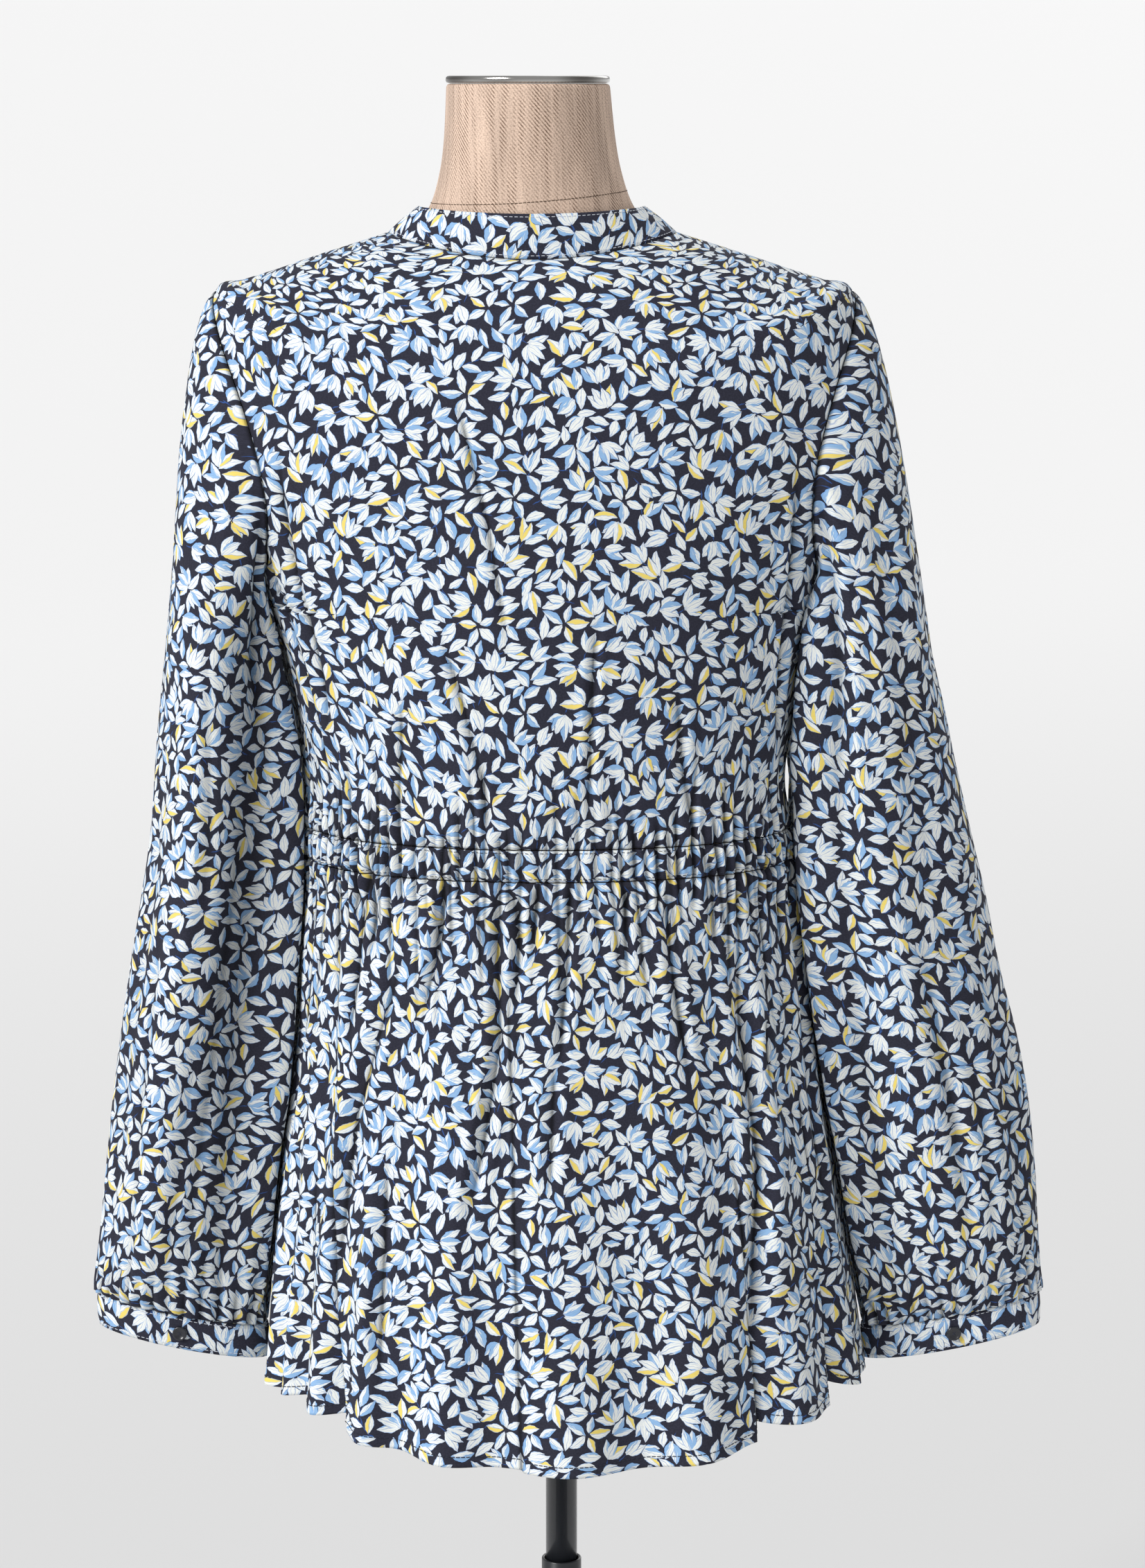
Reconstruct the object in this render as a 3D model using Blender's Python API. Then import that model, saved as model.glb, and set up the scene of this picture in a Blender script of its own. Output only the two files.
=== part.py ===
"""Maternity top on a limbless dress form with a height-adjustable stand.

The front faces -Y, the wearer's left is +X, and the stand's foot is at z = 0. Heights in the tables are in
millimetres from the top of the neck cap, and widths are from the form's own axis, which leans a little.
"""

import math

import bpy
import numpy as np

MM = 0.001
CAP_TOP = 1300.0  # height of the neck cap's top over the floor
LEAN = 0.028  # sideways lean of the form, mm for each mm of height
LEAN_FOOT = -700.0  # height where the leaning axis crosses the mast
FORM_BOTTOM = -620.0
CLOTH = 1.3  # wall of one layer of cloth
DOUBLED = 1.9  # wall of collar, cuffs, casing and placket
SEAM = 0.2  # each piece stops this far short of its seam line
SLEEVE_SEAM = 0.4  # a sleeve starts this far out of its armhole
OVERLAY = 0.35  # what lies on a panel is this far off it
REACH = 3.2  # least room between a sleeve and the body of the top
FACING = 0.12  # the shoulder seam is this share of the depth in front of the shoulder's ridge
ARMHOLE_SCOOP = 0.57  # how far the armhole cuts round the body, as a share of its depth
PLACKET_HALF = 13.0  # half width of the strip over the front opening

# Rings of the top, from the neckline down: height at back centre, side and front centre, then half width,
# back depth and front depth.
BODY = [
    (-106, -92, -150, 86, 58, 72),
    (-116, -99, -160, 108, 70, 84),
    (-128, -106, -172, 130, 80, 94),
    (-142, -113.5, -184, 152, 88, 102),
    (-158, -120, -197, 173, 95, 109),
    (-175, -126, -210, 190, 101, 114),
    (-205, -165, -235, 197, 106.5, 119),
    (-240, -215, -262, 196, 110.5, 123),
    (-280, -265, -290, 182, 113.5, 126),
    (-318, -314, -318, 166, 115, 125),
    (-350, -350, -350, 156, 115, 123),
    (-385, -385, -385, 150, 114, 120),
    (-418, -418, -418, 147.5, 112.5, 118),
    (-447, -449, -447, 148, 112, 118),
    (-466, -468, -466, 149, 113, 119),
    (-500, -501, -500, 151, 117, 124),
    (-540, -540, -540, 155, 121, 130),
    (-580, -580, -581, 159, 124.5, 135),
    (-620, -619, -621, 164, 127.5, 140),
    (-660, -657, -661, 171, 130.5, 145),
    (-700, -695, -702, 176, 133, 149),
    (-740, -731, -743, 181, 135.5, 152.5),
    (-780, -764, -782, 185, 137.5, 155.5),
    (-818, -794, -820, 188, 139, 158),
]
SHOULDER_TIP, UNDERARM, WAIST_TOP, WAIST_LOW, HEM = 5, 9, 13, 14, 23  # rows of BODY
COLLAR_TOP = (-79.5, -76.5, -124, 67.5, 55.1, 66.5)  # the collar's upper edge, in the same columns

# Rings of the bare form, in the same columns.
FORM = [
    (-4.5, -4.5, -4.5, 48.5, 50, 48),
    (-37, -37, -38, 51, 51, 49.5),
    (-60, -58, -64, 54.5, 52, 51),
    (-80, -76, -90, 60.5, 52.5, 54),
    (-94, -88, -118, 70, 53.5, 60),
    (-108, -96.5, -151, 84, 55.4, 69.5),
    (-118.3, -101, -162.2, 107.5, 67.6, 81.6),
    (-130.3, -108, -174.2, 129.4, 77.6, 91.6),
    (-144.3, -115.5, -186.2, 151.2, 85.6, 99.6),
    (-160.3, -122.2, -199.2, 171.5, 92.6, 106.6),
    (-177, -130, -212, 184, 98.5, 111.5),
    (-207, -160, -236, 185, 104, 115),
    (-240, -205, -262, 178, 107, 118),
    (-280, -262, -290, 162, 107, 119),
    (-318, -312, -318, 147, 104, 116),
    (-350, -350, -350, 136, 100, 110),
    (-390, -390, -390, 125, 95, 101),
    (-430, -430, -430, 119, 92, 96),
    (-470, -470, -470, 122, 94, 98),
    (-520, -520, -520, 134, 99, 104),
    (-570, -570, -570, 143, 104, 108),
    (-612, -612, -612, 147, 106, 110),
    (FORM_BOTTOM, FORM_BOTTOM, FORM_BOTTOM, 144, 103, 107),
]

# Rings of a sleeve below the underarm: height, outer edge of the left and of the right sleeve, inner edge,
# middle and half depth front to back.
SLEEVE = [
    (-345, 230, 234.5, 152, 0, 60),
    (-380, 235, 242, 149, -2, 60),
    (-412, 239, 248, 147, -4, 60),
    (-455, 244, 257, 147, -6, 59),
    (-498, 252, 266.5, 150, -8, 58),
    (-541, 261, 274, 154, -9, 57),
    (-585, 269, 284, 158, -10, 55),
    (-629, 276, 291, 164, -11, 53),
    (-673, 282, 295, 170, -12, 50),
    (-705, 286, 296, 174, -12, 46),
    (-728, 289, 296.5, 178, -12, 40),
    (-743, 290.5, 296.5, 182, -12, 33),
    (-757, 290.5, 296.5, 185, -12, 25),
]
CUFF_DROP = 21.0
CUFF_TILT = 0.2  # the cuffs hang lower towards the body
TILT_FROM, TILT_FULL = 6, 12  # rows of SLEEVE between which that tilt comes in

# Long folds of the sleeves: side, place round the sleeve in degrees (0 outer, 90 back, 180 inner), width in
# degrees, depth in mm, first and last height.
SLEEVE_FOLDS = [
    ("left", 62, 13, 4.0, -300, -690),
    ("left", 100, 16, -3.0, -340, -720),
    ("left", 28, 12, 3.0, -400, -700),
    ("left", 250, 16, 3.5, -330, -700),
    ("right", 66, 14, 4.0, -250, -640),
    ("right", 104, 16, -3.0, -360, -720),
    ("right", 34, 13, 3.0, -520, -740),
    ("right", 255, 16, 3.5, -330, -700),
]

# Troughs of the waves at the hem, in degrees from back centre (+ towards the wearer's left) and, for the
# front, from front centre.
BACK_TROUGHS = [-79, -57.9, -36.9, -24.2, -11, 2.4, 18.8, 34.6, 45.7, 67, 80]
FRONT_TROUGHS = [-78, -60, -43, -26, -9, 9, 26, 43, 60, 78]
WAVE = 6.0  # half height of the waves at the hem
GATHER = 1.5  # half height of the gathers at the waist
CUFF_GATHER = 1.6

# Rows of the bodice panels: above the armhole, along it, and below it to the waist.
SHOULDER_ROWS = [0, 1, 2, 3, 4]
BACK_HOLE = [5, 5.12, 5.5, 6, 6.5, 7, 7.5, 8, 8.5, 8.88, 9]
FRONT_HOLE = [5, 5.12, 5.5, 6, 7, 8, 8.5, 8.88, 9]
SIDE_ROWS = [10, 11.2, 12.2]

BODICE_COLUMNS, FRONT_COLUMNS, SKIRT_BACK, SKIRT_FRONT = 28, 13, 48, 36
SLEEVE_ROUND, CUFF_ROUND, COLLAR_ROUND, FORM_ROUND = 36, 28, 32, 28
BUTTON_RADIUS, BUTTON_HEIGHT, FRONT_BUTTONS = 4.5, 2.2, 5
POLE_RADIUS, TUBE_RADIUS, TUBE_BORE = 9.75, 12.4, 10.6
TUBE_TOP = CAP_TOP - 917.0
POLE_ENGAGED = 200.0
BASE_RADIUS, BASE_HEIGHT = 150.0, 10.0
PLATE_RADIUS, PLATE_HEIGHT = 45.0, 5.0
STEEL_GAP = 0.3  # room between pieces of the stand that touch in the real one
CLAMP_SIDES = 20


def table_at(table, rows):
    """Catmull-Rom values of every column of a table at fractional rows."""
    table, rows = np.asarray(table, float), np.asarray(rows, float)
    low = np.clip(np.floor(rows).astype(int), 0, len(table) - 2)
    f = (rows - low)[..., None]
    before, here = table[np.maximum(low - 1, 0)], table[low]
    there, after = table[low + 1], table[np.minimum(low + 2, len(table) - 1)]
    slope_here, slope_there = (there - before) / 2, (after - here) / 2
    return (
        here * (2 * f**3 - 3 * f**2 + 1)
        + slope_here * (f**3 - 2 * f**2 + f)
        + there * (3 * f**2 - 2 * f**3)
        + slope_there * (f**3 - f**2)
    )


def ring_point(table, angle, rows):
    """Points and outward normals on the rings of a table, at angles from back centre."""
    z_back, z_side, z_front, half_width, back, front = np.moveaxis(table_at(table, rows), -1, 0)
    sin, cos = np.sin(angle), np.cos(angle)
    depth = np.where(cos > 0, back, front)
    middle = np.where(cos > 0, z_back, z_front)
    points = np.stack([half_width * sin, depth * cos, middle + (z_side - middle) * sin**2], -1)
    normals = np.stack([sin / half_width, cos / depth, 0 * sin], -1)
    return points, normals / np.linalg.norm(normals, axis=-1, keepdims=True)


def ring_speed(table, angle, rows):
    """Millimetres along a ring for each radian."""
    _, _, _, half_width, back, front = np.moveaxis(table_at(table, rows), -1, 0)
    depth = np.where(np.cos(angle) > 0, back, front)
    return np.hypot(half_width * np.cos(angle), depth * np.sin(angle))


def side_edge(rows, front):
    """Angle of a panel's side edge from its own centre: shoulder seam, armhole, then side seam."""
    down = np.clip((np.asarray(rows, float) - SHOULDER_TIP) / (UNDERARM - SHOULDER_TIP), 0, 1)
    facing = FACING if front else -FACING
    return np.arccos(ARMHOLE_SCOOP * np.sin(np.pi * down) ** 0.55 + facing * (1 - down) ** 2)


def wave(angle, front):
    """Hem waves between -1 and 1, with a trough at each angle of the table."""
    troughs = np.radians(FRONT_TROUGHS if front else BACK_TROUGHS)
    return -np.cos(2 * np.pi * np.interp(angle, troughs, np.arange(len(troughs))))


def hem_share(rows):
    return np.clip((rows - WAIST_LOW) / (HEM - WAIST_LOW), 0, 1)


def body_swell(own_angle, rows, front):
    """How far the waves move the top's surface outwards, with angles from the panel's own centre."""
    calm = 0.3 + 0.7 * np.abs(np.cos(own_angle)) ** 0.6
    return WAVE * wave(own_angle, front) * calm * hem_share(rows) ** 1.3


def gather_height(rows, own_angle):
    """Half height of the gathers: full at the waist, gone a little above and further below it."""
    above = np.clip((rows - (WAIST_TOP - 2.2)) / 2.2, 0, 1) ** 1.5
    below = np.clip(1 - (rows - WAIST_LOW) / 5.5, 0, 1) ** 1.5
    sides = 0.45 + 0.55 * np.abs(np.sin(own_angle))
    return GATHER * np.minimum(above, below) * sides


def with_lean(points):
    """The same points on the leaning form, in world millimetres."""
    moved = np.array(points, float)
    moved[..., 0] += LEAN * (moved[..., 2] - LEAN_FOOT)
    moved[..., 2] += CAP_TOP
    return moved


def grid_normals(grid, closed):
    """Normals of a grid of points from its own rows and columns."""
    if closed:
        across = np.roll(grid, -1, axis=1) - np.roll(grid, 1, axis=1)
    else:
        across = np.gradient(grid, axis=1)
    down = np.gradient(grid, axis=0)
    normals = np.cross(across, down)
    return normals / np.linalg.norm(normals, axis=-1, keepdims=True)


def facing_out(grid, normals, axis_x=0.0, axis_y=0.0):
    """The normals, turned as one so that most point away from an upright axis."""
    away = grid[..., :2] - np.array([axis_x, axis_y])
    total = (normals[..., :2] * away).sum()
    return normals if total > 0 else -normals


def grid_quads(rows, columns, start, closed):
    r = np.arange(rows - 1)[:, None]
    c = np.arange(columns if closed else columns - 1)[None, :]
    right = (c + 1) % columns
    corners = (r * columns + c, r * columns + right, (r + 1) * columns + right, (r + 1) * columns + c)
    return start + np.stack([np.broadcast_to(k, (rows - 1, c.shape[1])) for k in corners], -1).reshape(-1, 4)


def rim_quads(path, size, closed):
    """Quads between the outer and the inner copy of a path of vertex numbers."""
    path = np.append(path, path[0]) if closed else path
    return np.stack([path[:-1], path[:-1] + size, path[1:] + size, path[1:]], -1)


def signed_volume(points, quads):
    a, b, c, d = (points[quads[:, k]] for k in range(4))
    return (np.cross(a, b) * c).sum() + (np.cross(a, c) * d).sum()


def make_object(name, points, quads, material, smooth=True):
    """A mesh object from millimetre points, with its faces turned outwards."""
    if signed_volume(points, quads) < 0:
        quads = quads[:, ::-1]
    mesh = bpy.data.meshes.new(name)
    faces = [list(dict.fromkeys(quad)) for quad in quads.tolist()]
    mesh.from_pydata((points * MM).tolist(), [], faces)
    mesh.polygons.foreach_set("use_smooth", [smooth] * len(mesh.polygons))
    mesh.materials.append(material)
    mesh.update()
    made = bpy.data.objects.new(name, mesh)
    bpy.context.scene.collection.objects.link(made)
    return made


def wall(name, outer, inner, material, closed=False):
    """A cloth wall between two grids of the same shape, with rims, as one closed solid."""
    rows, columns = outer.shape[:2]
    size = rows * columns
    points = np.concatenate([outer.reshape(-1, 3), inner.reshape(-1, 3)])
    face = grid_quads(rows, columns, 0, closed)
    number = np.arange(size).reshape(rows, columns)
    top, bottom = number[0], number[-1]
    rims = [rim_quads(top, size, closed)[:, ::-1], rim_quads(bottom, size, closed)]
    quads = [face[:, ::-1], face + size, *rims]
    if not closed:
        quads += [rim_quads(number[:, 0], size, False), rim_quads(number[:, -1], size, False)[:, ::-1]]
    return make_object(name, with_lean(points), np.concatenate(quads), material)


def lathe(name, profile, segments, material, centre=(0, 0, 0), direction=(0, 0, 1)):
    """A turned solid. The profile runs from the axis out and back to it, as (radius, height)."""
    profile = np.asarray(profile, float)
    turn = np.arange(segments) * 2 * np.pi / segments
    radius, height = profile[1:-1, 0], profile[1:-1, 1]
    ring = np.stack([np.cos(turn), np.sin(turn)], -1)
    heights = np.broadcast_to(height[:, None, None], (len(radius), segments, 1))
    points = np.concatenate([radius[:, None, None] * ring[None], heights], -1).reshape(-1, 3)
    ends = np.array([[0, 0, profile[0, 1]], [0, 0, profile[-1, 1]]])
    first, last = len(points), len(points) + 1
    quads = [grid_quads(len(radius), segments, 0, True)]
    here = np.arange(segments)
    there = (here + 1) % segments
    low = (len(radius) - 1) * segments
    quads.append(np.stack([there, here, np.full(segments, first), there], -1))
    quads.append(np.stack([here + low, there + low, np.full(segments, last), here + low], -1))
    points = np.concatenate([points, ends])
    axis = np.asarray(direction, float) / np.linalg.norm(direction)
    side = np.cross([0, 0, 1], axis) if abs(axis[2]) < 0.9 else np.array([1.0, 0, 0])
    side /= np.linalg.norm(side)
    other = np.cross(axis, side)
    points = points[:, :1] * side + points[:, 1:2] * other + points[:, 2:] * axis + np.asarray(centre, float)
    return make_object(name, points, np.concatenate(quads), material)


def material(name, colour, roughness, metallic=0.0):
    made = bpy.data.materials.new(name)
    made.use_nodes = True
    shader = made.node_tree.nodes["Principled BSDF"]
    shader.inputs["Base Color"].default_value = (*colour, 1)
    shader.inputs["Roughness"].default_value = roughness
    shader.inputs["Metallic"].default_value = metallic
    made.diffuse_color = (*colour, 1)
    return made


def body_panel(rows, own_angle, front, lift=0.0):
    """Points of the top's surface, without its gathers."""
    angle = np.pi - own_angle if front else own_angle
    points, normals = ring_point(BODY, angle, rows)
    return points + normals * (body_swell(own_angle, rows, front) + lift)[..., None]


def gathers(rows, own_angle):
    """Gathers as columns that go in and out in turn, level along the side seams."""
    sign = np.where(np.arange(own_angle.shape[1]) % 2 == 0, -1.0, 1.0)
    sign[[0, -1]] = 0
    return sign[None, :] * gather_height(rows, own_angle)


def panel_grid(row_list, columns, low_edge, high_edge, crowd=1.0):
    """Rows and own angles of a panel. crowd over 1 draws the columns towards the sides."""
    rows = np.repeat(np.asarray(row_list, float)[:, None], columns, axis=1)
    spread = np.linspace(-1, 1, columns)
    spread = np.sign(spread) * (1 - (1 - np.abs(spread)) ** crowd)
    middle, half = (high_edge + low_edge) / 2, (high_edge - low_edge) / 2
    return rows, middle[:, None] + half[:, None] * spread[None, :]


def seam_edges(row_list, front):
    """Edge angle of a panel on each row, less the seam's room."""
    rows = np.asarray(row_list, float)
    edge = side_edge(rows, front)
    world = np.pi - edge if front else edge
    return edge - SEAM / ring_speed(BODY, world, rows)


def near_row(row, towards, room=SEAM):
    """A row moved off a seam by the seam's room, towards another row."""
    here = table_at(BODY, np.array([row]))[0][0]
    step = math.copysign(0.01, towards - row)
    there = table_at(BODY, np.array([row + step]))[0][0]
    return row + step * room / abs(there - here)


def cloth_wall(name, grid, thick, cloth, closed=False, centre=(0.0, 0.0), gathered=0.0):
    """A wall inwards from a grid, whose gathers go in and out along the plain grid's normals."""
    normals = facing_out(grid, grid_normals(grid, closed), *centre)
    outer = grid + normals * np.broadcast_to(gathered, grid.shape[:2])[..., None]
    return wall(name, outer, outer - normals * thick, cloth, closed)


def bodice_rows(armhole_rows):
    return SHOULDER_ROWS + armhole_rows + SIDE_ROWS + [near_row(WAIST_TOP, WAIST_TOP - 1)]


def make_back_bodice(cloth):
    rows = bodice_rows(BACK_HOLE)
    edge = seam_edges(rows, False)
    grid_rows, angle = panel_grid(rows, BODICE_COLUMNS, -edge, edge, 1.25)
    cloth_wall("back_bodice", body_panel(grid_rows, angle, False), CLOTH, cloth,
               gathered=gathers(grid_rows, angle))


def make_front_bodices(cloth):
    rows = bodice_rows(FRONT_HOLE)
    edge = seam_edges(rows, True)
    middle = SEAM / ring_speed(BODY, np.full(len(rows), np.pi), np.asarray(rows, float))
    for name, sign in (("front_bodice_left", 1), ("front_bodice_right", -1)):
        grid_rows, angle = panel_grid(rows, FRONT_COLUMNS, middle, edge)
        cloth_wall(name, body_panel(grid_rows, sign * angle, True), CLOTH, cloth,
                   gathered=gathers(grid_rows, angle))
    return rows


def make_placket(rows, cloth):
    """A strip over the front opening, between the neckline and the waist."""
    rows = np.asarray(rows, float)
    speed = ring_speed(BODY, np.full(len(rows), np.pi), rows)
    half = PLACKET_HALF / speed
    grid_rows, angle = panel_grid(rows, 3, -half, half)
    lifted = body_panel(grid_rows, angle, True, lift=GATHER + OVERLAY + DOUBLED)
    cloth_wall("front_placket", lifted, DOUBLED, cloth)
    return lifted[:, 1], facing_out(lifted, grid_normals(lifted, False))[:, 1]


def make_casings(cloth):
    rows = [near_row(WAIST_TOP, WAIST_LOW), (WAIST_TOP + WAIST_LOW) / 2, near_row(WAIST_LOW, WAIST_TOP)]
    for name, front, columns in (("back_casing", False, SKIRT_BACK), ("front_casing", True, SKIRT_FRONT)):
        edge = seam_edges(rows, front)
        grid_rows, angle = panel_grid(rows, columns, -edge, edge, 1.15)
        bulge = 0.3 + 0.7 * np.sin(np.pi * (grid_rows - WAIST_TOP))
        cloth_wall(name, body_panel(grid_rows, angle, front, lift=bulge), DOUBLED, cloth,
                   gathered=gathers(grid_rows, angle))


def make_skirts(cloth):
    rows = [near_row(WAIST_LOW, HEM), 14.45, 15, 15.7, 16.5, 17.5, 18.6, 19.7, 20.8, 22, HEM]
    for name, front, columns in (("back_skirt", False, SKIRT_BACK), ("front_skirt", True, SKIRT_FRONT)):
        edge = seam_edges(rows, front)
        grid_rows, angle = panel_grid(rows, columns, -edge, edge, 1.15)
        cloth_wall(name, body_panel(grid_rows, angle, front), CLOTH, cloth,
                   gathered=gathers(grid_rows, angle))


def body_row_at(angle, z):
    """The fractional row where the top's surface has this height, at angles from back centre."""
    table = np.asarray(BODY, float)
    index = np.arange(len(table), dtype=float)
    found = np.empty(z.shape)
    for place in np.ndindex(z.shape):
        cos, sin2 = math.cos(angle[place]), math.sin(angle[place]) ** 2
        middle = table[:, 0] if cos > 0 else table[:, 2]
        heights = middle + (table[:, 1] - middle) * sin2
        found[place] = np.interp(-z[place], -heights, index)
    return found


def clear_of_body(points):
    """Points of a sleeve, each moved out of the top's surface until it has the least room."""
    moved = points.copy()
    for _ in range(3):
        row = body_row_at(np.full(moved.shape[:-1], np.pi / 2), moved[..., 2])
        sizes = table_at(BODY, row)
        depth = np.where(moved[..., 1] > 0, sizes[..., 4], sizes[..., 5])
        angle = np.arctan2(moved[..., 0] / sizes[..., 3], moved[..., 1] / depth)
        row = body_row_at(angle, moved[..., 2])
        front = np.abs(angle) > np.pi / 2
        own = np.where(front, np.sign(angle) * (np.pi - np.abs(angle)), angle)
        swell = np.where(front, body_swell(own, row, True), body_swell(own, row, False))
        surface, normals = ring_point(BODY, angle, row)
        apart = ((moved - surface) * normals).sum(-1) - swell
        below_underarm = np.clip((BODY[UNDERARM][1] - moved[..., 2]) / 20.0, 0, 1)
        push = np.maximum(REACH * below_underarm - apart, 0) * (below_underarm > 0)
        moved += normals * push[..., None]
    return moved


def armhole(count, sign):
    """The armhole as a closed ring from the shoulder down the back and up the front."""
    back, _ = ring_point(BODY, side_edge(BACK_HOLE, False), np.asarray(BACK_HOLE, float))
    front, _ = ring_point(BODY, np.pi - side_edge(FRONT_HOLE, True), np.asarray(FRONT_HOLE, float))
    whole = []
    share = np.linspace(0, 1, count // 2 + 1)
    for line in (back, front[::-1]):
        gone = np.concatenate([[0], np.cumsum(np.linalg.norm(np.diff(line, axis=0), axis=1))])
        whole.append(np.stack([np.interp(share * gone[-1], gone, line[:, k]) for k in range(3)], -1)[:-1])
    ring = np.concatenate(whole)
    ring[:, 0] *= sign
    return ring


def sleeve_ring(row, count, sign):
    """One level ring of a sleeve, from its outer side round the back."""
    z, outer_left, outer_right, inner, mid, half_depth = table_at(SLEEVE, np.array([row]))[0]
    outer = outer_left if sign > 0 else outer_right
    turn = np.linspace(0, 2 * np.pi, count, endpoint=False)
    half_width = (outer - inner) / 2
    x = (outer + inner) / 2 + half_width * np.cos(turn)
    y = mid + half_depth * np.sin(turn)
    tilt = CUFF_TILT * np.clip((row - TILT_FROM) / (TILT_FULL - TILT_FROM), 0, 1) ** 1.5
    heights = z + tilt * half_width * np.cos(turn)
    return np.stack([sign * x, y, heights], -1)


def fold_depth(side, degrees, z):
    """Depth of the sleeve's long folds: each fades in and out along its height."""
    depth = np.zeros(np.broadcast(degrees, z).shape)
    for fold_side, place, width, size, first, last in SLEEVE_FOLDS:
        if fold_side == side:
            along = np.clip((first - z) / (first - last), 0, 1)
            depth -= size * np.exp(-(((degrees - place) / width) ** 2)) * np.sin(np.pi * along) ** 0.7
    return depth


def make_sleeve(side, cloth):
    """A tube from the armhole, over a curved cap, then down ring by ring to the cuff."""
    sign = 1 if side == "left" else -1
    turn = np.linspace(0, 2 * np.pi, SLEEVE_ROUND, endpoint=False)
    start = armhole(SLEEVE_ROUND, sign)
    level = [clear_of_body(sleeve_ring(row, SLEEVE_ROUND, sign) * (sign, 1, 1)) * (sign, 1, 1)
             for row in (0, 1, 2.2, 3.6, 5, 6, 7, 8, 9, 10, 11, 12)]
    end = level[0]
    reach = np.linalg.norm(end - start, axis=1)[:, None] / 222.0
    lateral = 0.86 + 0.07 * np.cos(2 * turn)
    leave = np.stack([sign * lateral, 0.22 * np.sin(turn), -0.45 + 0.08 * np.cos(turn)], -1) * 64.0 * reach
    arrive = np.array([sign * 25.0, 0, -200.0]) * reach
    rows = []
    for t in (0.0, 0.09, 0.2, 0.35, 0.52, 0.76):
        rows.append(start * (2 * t**3 - 3 * t**2 + 1) + leave * (t**3 - 2 * t**2 + t)
                    + end * (3 * t**2 - 2 * t**3) + arrive * (t**3 - t**2))
    outward = leave / np.linalg.norm(leave, axis=1, keepdims=True)
    rows[0] = rows[0] + outward * SLEEVE_SEAM
    grid = np.array(rows + level)
    around = np.stack([sign * np.cos(turn), np.sin(turn), 0 * turn], -1)
    degrees = np.degrees(turn)[None, :]
    shift = fold_depth(side, degrees, grid[..., 2])
    zigzag = np.where(np.arange(SLEEVE_ROUND) % 2 == 0, -1.0, 1.0)
    gathered = zigzag * np.clip((-grid[..., 2] - 690) / 55, 0, 1) ** 1.3 * CUFF_GATHER
    gathered[-1] *= 0.5
    grid = grid + around[None] * shift[..., None]
    grid = clear_of_body(grid * (sign, 1, 1)) * (sign, 1, 1)
    grid[-1, :, 2] += SEAM
    middle = grid[-1].mean(axis=0)
    cloth_wall("sleeve_" + side, grid, CLOTH, cloth, True, (middle[0] * 0.87, middle[1]), gathered)


def make_cuff(side, cloth, button_material):
    sign = 1 if side == "left" else -1
    top = sleeve_ring(len(SLEEVE) - 1, CUFF_ROUND, sign)
    grid = np.array([top + np.array([0, 0, -SEAM - drop]) for drop in (0, CUFF_DROP / 2, CUFF_DROP)])
    centre = (top[:, 0].mean(), top[:, 1].mean())
    normals = facing_out(grid, grid_normals(grid, True), *centre)
    wall("cuff_" + side, grid, grid - normals * DOUBLED, cloth, True)
    at = int(round(CUFF_ROUND * 0.25))
    place, out = grid[1, at], normals[1, at]
    make_button("cuff_button_" + side, place + out * OVERLAY, out, button_material)


def make_button(name, place, out, button_material):
    """A flat button with a bevelled edge, standing off its cloth."""
    r, h = BUTTON_RADIUS, BUTTON_HEIGHT
    profile = [(0, 0), (r, 0), (r, h - 0.6), (r - 0.7, h), (0, h)]
    lathe(name, profile, 12, button_material, with_lean(place), out)


def make_front_buttons(line, normals, button_material):
    """Five buttons down the placket's middle line, evenly spaced."""
    gone = np.concatenate([[0], np.cumsum(np.linalg.norm(np.diff(line, axis=0), axis=1))])
    for number, share in enumerate(np.linspace(0.05, 0.93, FRONT_BUTTONS)):
        place, out = (
            np.array([np.interp(share * gone[-1], gone, values[:, k]) for k in range(3)])
            for values in (line, normals)
        )
        out /= np.linalg.norm(out)
        make_button(f"front_button_{number + 1}", place + out * 2 * OVERLAY, out, button_material)


def make_collar(cloth):
    """A band from the neckline up to its top edge, open by a hair at front centre."""
    gap = 0.004
    angle = np.linspace(-np.pi + gap, np.pi - gap, COLLAR_ROUND)
    low = np.array(BODY[0], float)
    top = np.array(COLLAR_TOP, float)
    grid = []
    for share in (0.012, 0.5, 1.0):
        ring = low + (top - low) * share
        points, _ = ring_point([ring, ring], angle, np.zeros(COLLAR_ROUND))
        grid.append(points)
    cloth_wall("collar", np.array(grid), DOUBLED, cloth)


def make_form(linen):
    """The bare bust: rings closed by a flat top and bottom, one solid."""
    rows = np.arange(len(FORM), dtype=float)[:, None]
    angle = np.linspace(0, 2 * np.pi, FORM_ROUND, endpoint=False)[None, :]
    rows, angle = np.broadcast_arrays(rows, angle)
    points, _ = ring_point(FORM, angle, rows)
    ends = np.array([[0, 0, FORM[0][0]], [0, 0, FORM_BOTTOM]])
    flat = np.concatenate([points.reshape(-1, 3), ends])
    here = np.arange(FORM_ROUND)
    there = (here + 1) % FORM_ROUND
    first, last = len(flat) - 2, len(flat) - 1
    low = (len(FORM) - 1) * FORM_ROUND
    quads = np.concatenate([
        grid_quads(len(FORM), FORM_ROUND, 0, True),
        np.stack([there, here, np.full(FORM_ROUND, first), there], -1),
        np.stack([here + low, there + low, np.full(FORM_ROUND, last), here + low], -1),
    ])
    make_object("dress_form", with_lean(flat), quads, linen)


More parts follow.
